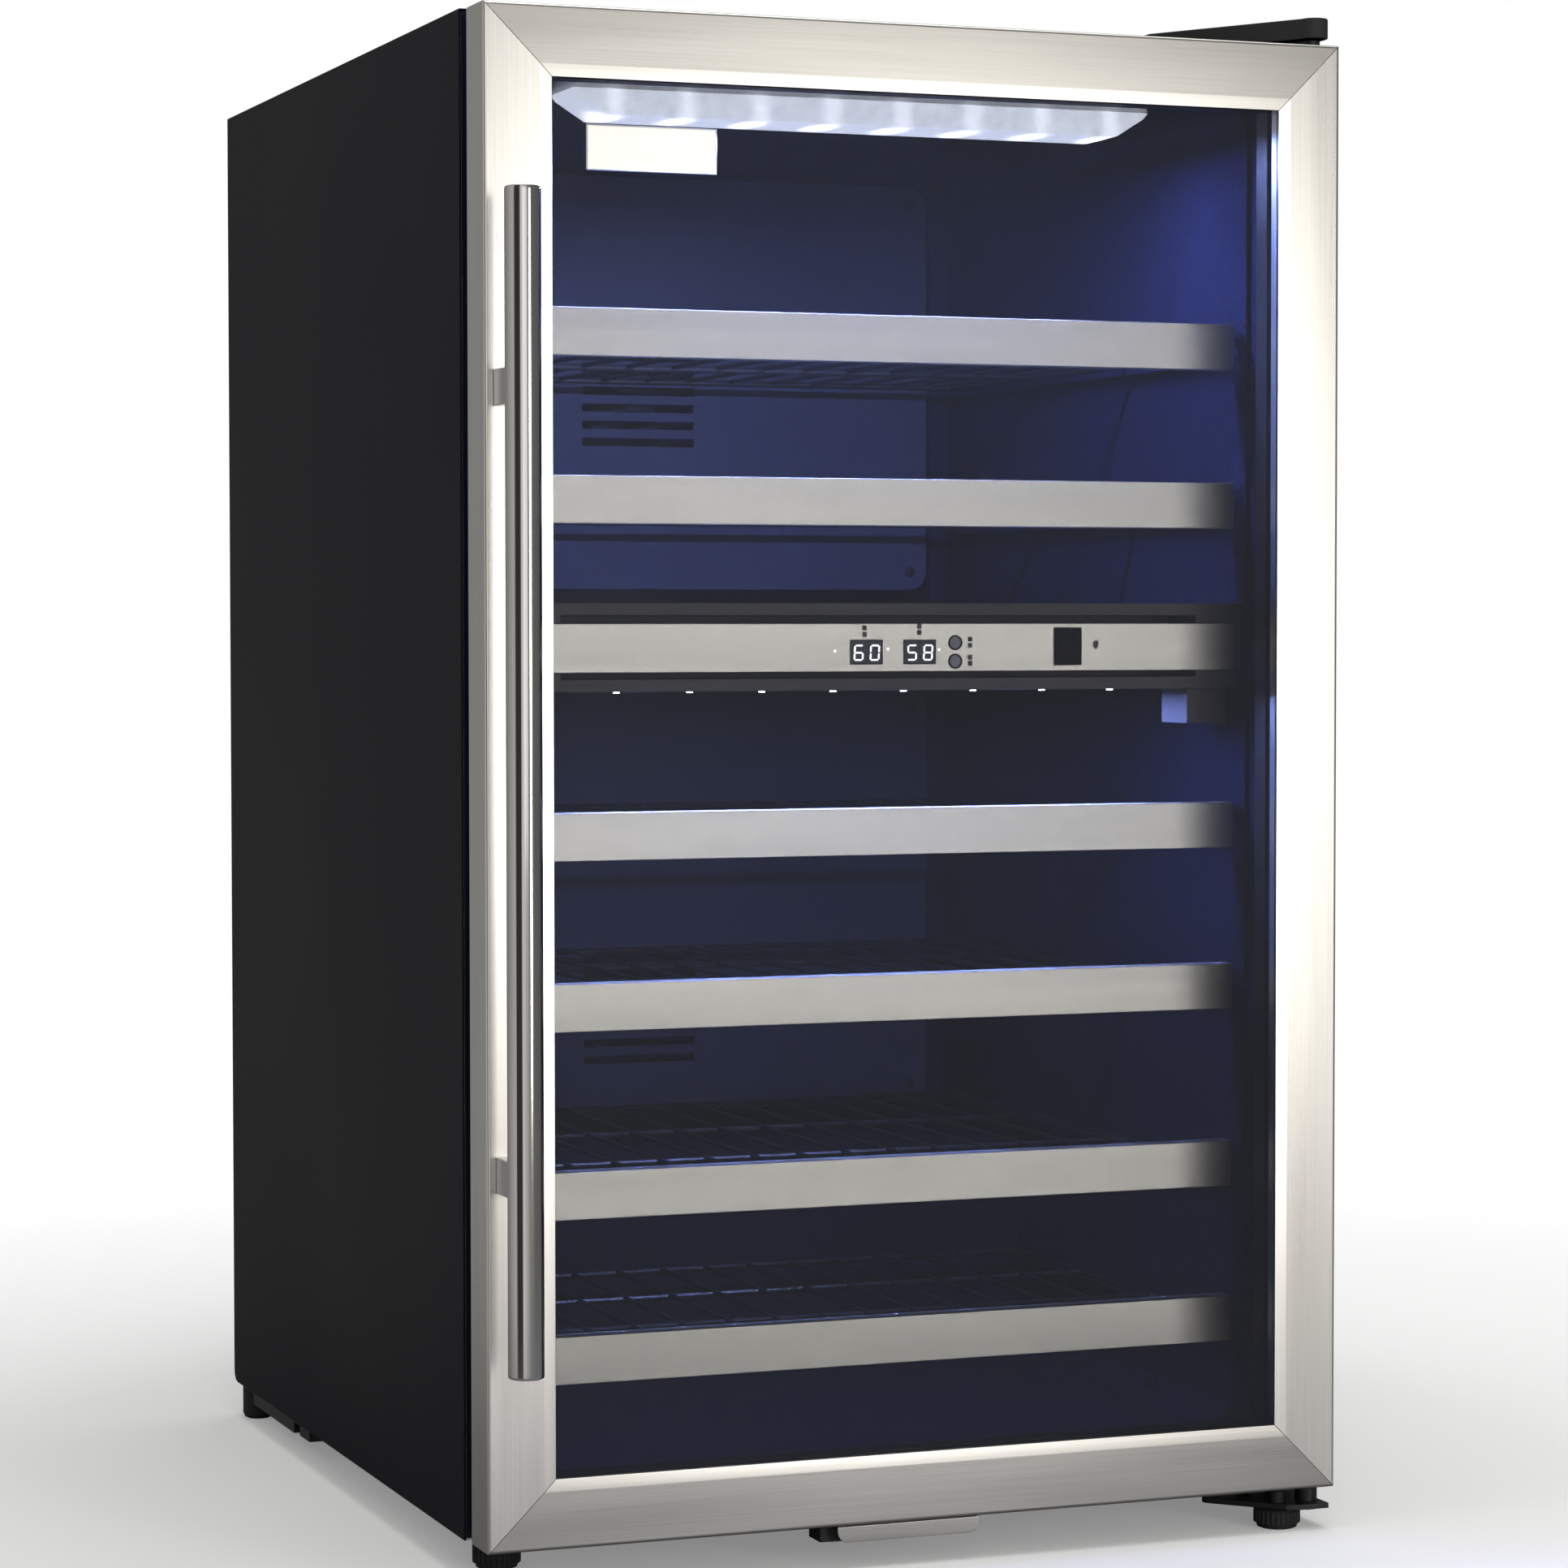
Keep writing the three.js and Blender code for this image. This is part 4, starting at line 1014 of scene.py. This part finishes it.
            # the rails wear the darker steel, which is painted shade
            finish = STILE_STEEL if side in (Side.LEFT, Side.RIGHT) else SHADED_RAIL_STEEL
            piece(f"{side.value}_fine", self.member(side), finish, replaces=(side.value,))
        for node, finish, width in (("door_inner_frame", DOOR_PLASTIC, 0.3), ("door_outer_glass", DOTTED_GLASS, 0.4),
                                    ("door_inner_glass", CLEAR_GLASS, 0.4), ("glass_spacer", ALUMINIUM, 0.3)):
            refine(node, finish, width * MM)
        piece("door_gasket_fine", self.gasket(), GASKET_RUBBER, replaces=("door_gasket",))
        piece("handle_bar_fine", self.handle_bar(), BAR_STEEL, replaces=("handle_bar",))
        for post in ("handle_post_upper", "handle_post_lower"):
            refine(post, POST_STEEL, 0.7 * MM, 3)
        refine("name_plate", BADGE_STEEL, 0.2 * MM)
        piece("name_plate_rim", self.badge_rim(), CHROME, "door")
        # the lock plate wears the rails' darker steel, which is painted shade
        refine("lock_plate", SHADED_RAIL_STEEL, 0.3 * MM)


# ---- Shelves --------------------------------------------------------------------------------
@dataclass
class Shelf:
    """One pull-out shelf: a folded steel front and a rack of coated wires."""

    number: int
    bar: float = 4 * MM
    wire: float = 3 * MM
    pitch: float = 86 * MM / 3
    cross_bars: int = 4

    def rack(self) -> Mesh:
        """The welded grid: two side bars, cross bars and lengthwise wires."""
        low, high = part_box(f"shelf_{self.number}_rack")
        half = self.bar / 2
        z = low.z + half
        depth, width = high.y - low.y, high.x - low.x
        sides = Row("side_bars", Unit.ROD, 2, Vector((low.x + half, (low.y + high.y) / 2, z)),
                    Vector((width - self.bar, 0, 0)), (half, half, depth), ALONG_Y)
        step = (depth - self.bar) / (self.cross_bars - 1)
        cross = Row("cross_bars", Unit.ROD, self.cross_bars, Vector(((low.x + high.x) / 2, low.y + half, z)),
                    Vector((0, step, 0)), (half, half, width - self.bar), ALONG_X)
        count = int((width - self.bar) / self.pitch / 2) * 2 + 1
        first = (low.x + high.x) / 2 - self.pitch * (count - 1) / 2
        wires = Row("wires", Unit.ROD, count, Vector((first, (low.y + high.y) / 2, z + half * 0.6)),
                    Vector((self.pitch, 0, 0)), (self.wire / 2, self.wire / 2, depth - self.bar), ALONG_Y, 8)
        return joined(row.mesh(WIRE_BLACK) for row in (sides, cross, wires))

    def build(self) -> None:
        """Makes and dresses the shelf's two pieces."""
        refine(f"shelf_{self.number}_front", SHELF_STEEL, 0.35 * MM)
        rack = f"shelf_{self.number}_rack"
        piece(f"{rack}_fine", self.rack(), WIRE_BLACK, replaces=(rack,))


# ---- Cabinet --------------------------------------------------------------------------------
@dataclass
class Cabinet:
    """The steel cabinet, its lining, its feet and what is fixed to it."""

    screw_inset: float = 9 * MM
    cover_inset: float = 7 * MM
    panel_inset: float = 12 * MM
    sunk: float = 1.2 * MM
    liner_wall: float = 5.6 * MM
    clip_back: float = 57 * MM
    clip_drop: float = 8 * MM
    foot_ribs: int = 28
    rib: float = 0.85 * MM
    stud: float = 4 * MM

    def screws(self) -> None:
        """Puts the screws into the back, the machine cover, the air panels and the wall clip."""
        low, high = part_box("back_panel")
        xs = [low.x + self.screw_inset, (low.x + high.x) / 2, high.x - self.screw_inset]
        zs = [low.z + self.screw_inset + (high.z - low.z - 2 * self.screw_inset) * i / 3 for i in range(4)]
        rear = [(x, high.y, z) for x in (xs[0], xs[2]) for z in zs] + [(xs[1], high.y, zs[0]), (xs[1], high.y, zs[-1])]
        cover_low, cover_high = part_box("machine_cover")
        cover_zs = (cover_low.z + self.cover_inset, cover_high.z - self.cover_inset)
        rear += [(x, cover_high.y, z) for x in xs for z in cover_zs]
        sunk = [(x, y - self.sunk, z) for x, y, z in rear]
        piece("rear_screws", Screws("rear_screws", 2.6 * MM, self.sunk).mesh(sunk, FACE_BACK, ZINC), ZINC)
        inner = []
        for panel in ("upper_air_panel", "lower_air_panel"):
            low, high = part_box(panel)
            inner += [(x, low.y, z) for x in (low.x + self.panel_inset, high.x - self.panel_inset)
                      for z in (low.z + self.panel_inset, high.z - self.panel_inset)]
        piece("air_panel_screws", Screws("air_panel_screws").mesh(inner, FACE_FRONT, BLACK_STEEL), BLACK_STEEL)
        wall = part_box("liner")[1].x - self.liner_wall
        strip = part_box("divider_housing")
        clip = (wall, strip[0].y + self.clip_back, strip[0].z - self.clip_drop)
        turn = (0.0, math.radians(-90), 0.0)
        piece("wall_screw", Screws("wall_screw", 4.2 * MM, 2.6 * MM).mesh([clip], turn, CHROME), CHROME)

    def front_foot(self, side: str) -> None:
        """Makes one ribbed front foot with its stud."""
        node = f"front_foot_{side}"
        low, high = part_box(node)
        radius = (high.x - low.x) / 2
        middle = ((low.x + high.x) / 2, (low.y + high.y) / 2, 0)
        stud = self.stud
        body_top = high.z - (15 * MM if side == "left" else 10.4 * MM)
        core = radius - 0.9 * MM
        profile = [
            (0, low.z), (core * 0.8, low.z), (core * 0.9, low.z + 0.5 * MM), (core * 0.94, low.z + 2.2 * MM),
            (core * 0.94, low.z + 2.6 * MM), (core, low.z + 3 * MM), (core, body_top - 1 * MM),
            (core - 1 * MM, body_top), (stud, body_top), (stud, high.z - 0.5 * MM),
            (stud - 0.5 * MM, high.z), (0, high.z),
        ]
        rib_top = low.z + 3 * MM + (body_top - low.z - 3.6 * MM)
        ribs = []
        for i in range(self.foot_ribs):
            angle = 2 * math.pi * i / self.foot_ribs
            x, y = middle[0] + core * math.cos(angle), middle[1] + core * math.sin(angle)
            ribs.append(prism(Axis.Z, arc(x, y, self.rib, 0, 315, 7), low.z + 3 * MM, rib_top))
        piece(f"{node}_fine", joined([turned(profile, middle, sides=48), *ribs]), BLACK_PLASTIC,
              replaces=(node,))

    def build(self) -> None:
        """Makes and dresses the cabinet's pieces."""
        for node, finish, width, *segments in (
                ("outer_wrapper", BLACK_ENAMEL_PAINTED_PURPLE_REFLECTION, 0.5), ("back_panel", BLACK_STEEL, 0.4), ("base_panel", ZINC, 0.4),
                ("compressor_tray", BLACK_STEEL, 0.5), ("insulation", FOAM, 0.2), ("liner", LINER_BLACK_PAINTED_BLUE_LIGHT, 0.5),
                ("upper_air_panel", PANEL_GREY_PAINTED_BLUE_LIGHT, 0.5), ("lower_air_panel", PANEL_GREY_PAINTED_BLUE_LIGHT, 0.5),
                ("machine_cover", BLACK_STEEL, 0.3), ("mains_inlet", BLACK_PLASTIC, 0.3),
                ("compressor", BLACK_STEEL, 0.6), ("top_hinge_bracket", BLACK_STEEL, 0.3),
                ("top_hinge_cover", BLACK_PLASTIC, 0.7, 3), ("bottom_hinge_bracket", BLACK_STEEL, 0.4),
                ("lock_housing", BLACK_PLASTIC, 0.5), ("lock_cylinder", CHROME, 0.3), ("lock_bolt", ZINC, 0.3),
                ("upper_fan", BLACK_PLASTIC, 0.3), ("lower_fan", BLACK_PLASTIC, 0.3)):
            refine(node, finish, width * MM, *segments)
        for side in ("left", "right"):
            refine(f"rear_foot_{side}", BLACK_PLASTIC, 0.5 * MM)
            self.front_foot(side)
        self.screws()


@dataclass
class CoilBlock:
    """A finned heat exchanger: thin plates with tubes running through them."""

    node: str
    fins: int
    tube_rows: int
    tube_radius: float
    tube_finish: Finish
    margin: float = 4 * MM
    tube_margin: float = 8 * MM
    thin: float = 30 * MM       # a block thinner than this has one column of tubes

    def build(self) -> None:
        """Makes the fins and the tubes."""
        low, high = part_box(self.node)
        size = high - low
        middle = (low + high) / 2
        pitch = (size.x - 2 * self.margin) / (self.fins - 1)
        fins = Row("fins", Unit.PLATE, self.fins, Vector((low.x + self.margin, middle.y, middle.z)),
                   Vector((pitch, 0, 0)), (0.4 * MM, size.y, size.z))
        step = (size.z - 2 * self.tube_margin) / (self.tube_rows - 1)
        columns = 1 if size.y < self.thin else 3
        tubes = []
        for column in range(columns):
            y = low.y + size.y * (column + 0.5) / columns
            tubes.append(Row("tubes", Unit.ROD, self.tube_rows, Vector((middle.x, y, low.z + self.tube_margin)),
                             Vector((0, 0, step)), (self.tube_radius, self.tube_radius, size.x), ALONG_X, 12))
        piece(f"{self.node}_fins", fins.mesh(ALUMINIUM), ALUMINIUM, replaces=(self.node,))
        tube_mesh = joined(row.mesh(self.tube_finish) for row in tubes)
        piece(f"{self.node}_tubes", tube_mesh, self.tube_finish)


# ---- Divider and controls ---------------------------------------------------------------------
class Digit(Enum):
    """Seven-segment digits: the lit segments, clockwise from the top and then the middle."""

    ZERO = "abcdef"
    FIVE = "acdfg"
    SIX = "acdefg"
    EIGHT = "abcdefg"


@dataclass
class Controls:
    """The divider's control strip: two number windows, two buttons and the light switch."""

    digit_width: float = 4.9 * MM
    digit_height: float = 8.0 * MM
    stroke: float = 0.95 * MM
    lift: float = 0.15 * MM
    slant: float = 0.06
    digit_pitch: float = 9.6 * MM
    window_pitch: float = 32 * MM
    first_digit: float = 2.6 * MM
    window_edge: Point = (6 * MM, 0.0, 3 * MM)      # from the display's corner to the first window's
    digit_foot: float = 2.4 * MM
    square: float = 1.35 * MM
    plan_corner: Point = (222 * MM, 0.0, 464 * MM)  # the display's corner in the strip's plan
    button_radius: float = 3 * MM
    switch_tilt: float = 7.0
    mark_reach: float = 3.2 * MM

    def segment(self, name: str, x: float, y: float, z: float) -> Mesh:
        """One lit segment of the digit whose lower left corner is at x, z."""
        w, h, s = self.digit_width, self.digit_height, self.stroke / 2
        ends = {"a": ((0, h), (w, h)), "b": ((w, h), (w, h / 2)), "c": ((w, h / 2), (w, 0)), "d": ((0, 0), (w, 0)),
                "e": ((0, h / 2), (0, 0)), "f": ((0, h), (0, h / 2)), "g": ((0, h / 2), (w, h / 2))}
        (x0, z0), (x1, z1) = ends[name]
        along = Vector((x1 - x0, z1 - z0)).normalized()
        across = Vector((-along.y, along.x)) * s
        start, end = Vector((x0, z0)) + along * s * 1.2, Vector((x1, z1)) - along * s * 1.2
        outline = [start - along * s * 0.7, start + across, end + across, end + along * s * 0.7,
                   end - across, start - across]
        points = [(x + p.x + self.slant * p.y, z + p.y) for p in outline]
        return prism(Axis.Y, points, y - self.lift, y)

    def digits(self) -> Mesh:
        """The four lit digits."""
        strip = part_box("zone_display")
        y = strip[0].y - 0.02 * MM
        base = strip[0].z + self.window_edge[2] + self.digit_foot
        left = strip[0].x + self.window_edge[0]
        meshes = []
        for window, pair in enumerate(((Digit.SIX, Digit.ZERO), (Digit.FIVE, Digit.EIGHT))):
            for place, digit in enumerate(pair):
                x = left + window * self.window_pitch + self.first_digit + place * self.digit_pitch
                meshes += [self.segment(name, x, y, base) for name in digit.value]
        return joined(meshes)

    def marks(self) -> None:
        """The small squares, the indicator dots and the lamp symbol on the strip."""
        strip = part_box("control_strip")
        y = strip[0].y
        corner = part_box("zone_display")[0]
        origin_x, origin_z = corner.x - self.plan_corner[0], corner.z - self.plan_corner[2]
        dark, light = [], []
        for x, z, filled in ((236.6, 487.2, True), (236.6, 483.6, False), (269.4, 484.6, True),
                             (269.4, 488.0, False), (300.2, 480.8, True), (300.2, 477.4, False),
                             (300.2, 467.3, True), (300.2, 470.7, False)):
            cx, cz, half = origin_x + x * MM, origin_z + z * MM, self.square
            mesh = prism(Axis.Y, rounded_rectangle(cx - half, cx + half, cz - half, cz + half, 0.3 * MM, 2),
                         y - 0.08 * MM, y + 0.02 * MM)
            (dark if filled else light).append(mesh)
        bulb_x, bulb_z = origin_x + 377.5 * MM, origin_z + 478 * MM
        bulb = arc(bulb_x, bulb_z, 1.9 * MM, -50, 230, 12)
        bulb += [(bulb_x - 0.7 * MM, bulb_z - 3.0 * MM), (bulb_x + 0.7 * MM, bulb_z - 3.0 * MM)]
        light.append(prism(Axis.Y, bulb, y - 0.06 * MM, y + 0.02 * MM))
        piece("strip_squares", joined(dark), MARK_GREY)
        piece("strip_symbols", joined(light), MARK_LIGHT)
        dots = [turned([(0, y - 0.35 * MM), (0.55 * MM, y - 0.25 * MM), (0.8 * MM, y + 0.1 * MM), (0, y + 0.1 * MM)],
                       (origin_x + x * MM, 0, origin_z + z * MM), Axis.Y, 16)
                for x, z in ((219.0, 474.4), (250.6, 475.4), (281.4, 475.0))]
        piece("zone_indicator_dots", joined(dots), DIGIT_WHITE)

    def button(self, node: str) -> None:
        """Makes one domed button."""
        low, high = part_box(node)
        middle = ((low.x + high.x) / 2, 0, (low.z + high.z) / 2)
        radius = self.button_radius
        collar = (high.x - low.x) / 2
        profile = [(0, low.y), (radius * 0.5, low.y + 0.12 * MM), (radius * 0.85, low.y + 0.5 * MM),
                   (radius, low.y + 1.2 * MM), (radius, high.y - 2.2 * MM), (collar, high.y - 2.2 * MM),
                   (collar, high.y - 1 * MM), (radius, high.y - 1 * MM), (radius, high.y), (0, high.y)]
        piece(f"{node}_fine", turned(profile, middle, Axis.Y, 40), BUTTON_WHITE_PAINTED_GLOW, replaces=(node,))
        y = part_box("control_strip")[0].y
        rim = [(radius + 0.45 * MM, y), (radius + 0.45 * MM, y - 0.5 * MM), (radius + 0.8 * MM, y - 0.7 * MM),
               (radius + 1.15 * MM, y - 0.5 * MM), (radius + 1.3 * MM, y)]
        piece(f"{node}_ring", self.hoop(rim, middle, 40), BLACK_PLASTIC)

    def hoop(self, section: Outline, middle: Point, sides: int) -> Mesh:
        """A closed (radius, y) section carried round a Y axis through a point."""
        bm = bmesh.new()
        rings = []
        for i in range(sides):
            angle = 2 * math.pi * i / sides
            rings.append([Vector((middle[0] + r * math.cos(angle), y, middle[2] + r * math.sin(angle)))
                          for r, y in section])
        add_rings(bm, rings, closed=True)
        return finish_mesh(bm, "hoop")

    def switch(self) -> None:
        """Makes the rocker's two white marks: a stroke on its upper half and a ring on its lower."""
        refine("switch_bezel", BLACK_PLASTIC, 0.3 * MM)
        refine("light_switch_rocker", BLACK_PLASTIC, 0.3 * MM)
        low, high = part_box("light_switch_rocker")
        x, z = (low.x + high.x) / 2, (low.z + high.z) / 2
        turn = Matrix.Rotation(-math.radians(self.switch_tilt), 4, "X")
        face = low.y + 0.75 * MM
        stroke = prism(Axis.Y, rounded_rectangle(-0.3 * MM, 0.3 * MM, -1.3 * MM, 1.3 * MM, 0.2 * MM, 2),
                       -0.1 * MM, 0.35 * MM)
        ring = self.hoop([(0.85 * MM, 0.35 * MM), (0.85 * MM, -0.1 * MM), (1.3 * MM, -0.1 * MM),
                          (1.3 * MM, 0.35 * MM)], same(0), 24)
        stroke.transform(Matrix.Translation((x, face + 0.55 * MM, z + self.mark_reach)) @ turn)
        ring.transform(Matrix.Translation((x, face - 0.35 * MM, z - self.mark_reach)) @ turn)
        piece("switch_marks", joined((stroke, ring)), MARK_LIGHT, "light_switch")

    def build(self) -> None:
        """Makes and dresses the divider's pieces."""
        refine("divider_housing", DIVIDER_GREY, 0.5 * MM)
        refine("control_strip", SHELF_STEEL, 0.25 * MM)
        refine("zone_display", WINDOW_GREY, 0.15 * MM)
        piece("zone_digits", self.digits(), DIGIT_WHITE)
        self.marks()
        for node in ("upper_set_button", "lower_set_button"):
            self.button(node)
        self.switch()


@dataclass
class InnerLights:
    """The two light bars with their lamps, and the light that they give."""

    chip: Point = (2.6 * MM, 2.6 * MM, 1.2 * MM)
    chip_back: float = 6 * MM
    chip_drop: float = 0.5 * MM
    glow_drop: float = 3 * MM
    glow_width: float = 30 * MM
    glow: Colour = (0.28, 0.38, 1.0)

    def build(self, studio: Studio) -> None:
        """Makes the lenses, the lamps and the light.

        Args:
            studio: the studio, whose lamps are of the same kind.
        """
        refine("top_light", TOP_LENS, 0.6 * MM, 3)
        refine("lower_light", LOWER_LENS, 0.3 * MM)
        low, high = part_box("lower_light")
        first = (low.x + high.x) / 2 - LAMP_PITCH * (LAMPS - 1) / 2
        chips = Row("chips", Unit.PLATE, LAMPS, Vector((first, low.y + self.chip_back, low.z - self.chip_drop)),
                    Vector((LAMP_PITCH, 0, 0)), self.chip)
        piece("lower_light_lamps", chips.mesh(LAMP_BLUE), LAMP_BLUE)
        for node, power in (("top_light", 12.0), ("lower_light", 4.5)):
            low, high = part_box(node)
            x, y, z = (low.x + high.x) / 2, (low.y + high.y) / 2, low.z - self.glow_drop
            studio.add_lamp(f"{node}_glow", (x, y, z), (x, y, z - 1), (high.x - low.x - 20 * MM, self.glow_width),
                            power, self.glow)


def main() -> None:
    """Builds the camera, every sub-assembly and the studio, in that order."""
    logging.basicConfig(level=logging.INFO, format="%(name)s: %(message)s")
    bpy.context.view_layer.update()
    studio = Studio()
    studio.add_camera()
    Door().build()
    for number in range(1, 7):
        Shelf(number).build()
    Cabinet().build()
    CoilBlock("condenser", 40, 6, 3 * MM, COPPER).build()
    CoilBlock("evaporator", 40, 5, 3 * MM, ALUMINIUM).build()
    Controls().build()
    InnerLights().build(studio)
    studio.add_floor()
    studio.add_sky()
    studio.light()


if __name__ == "__main__":
    main()
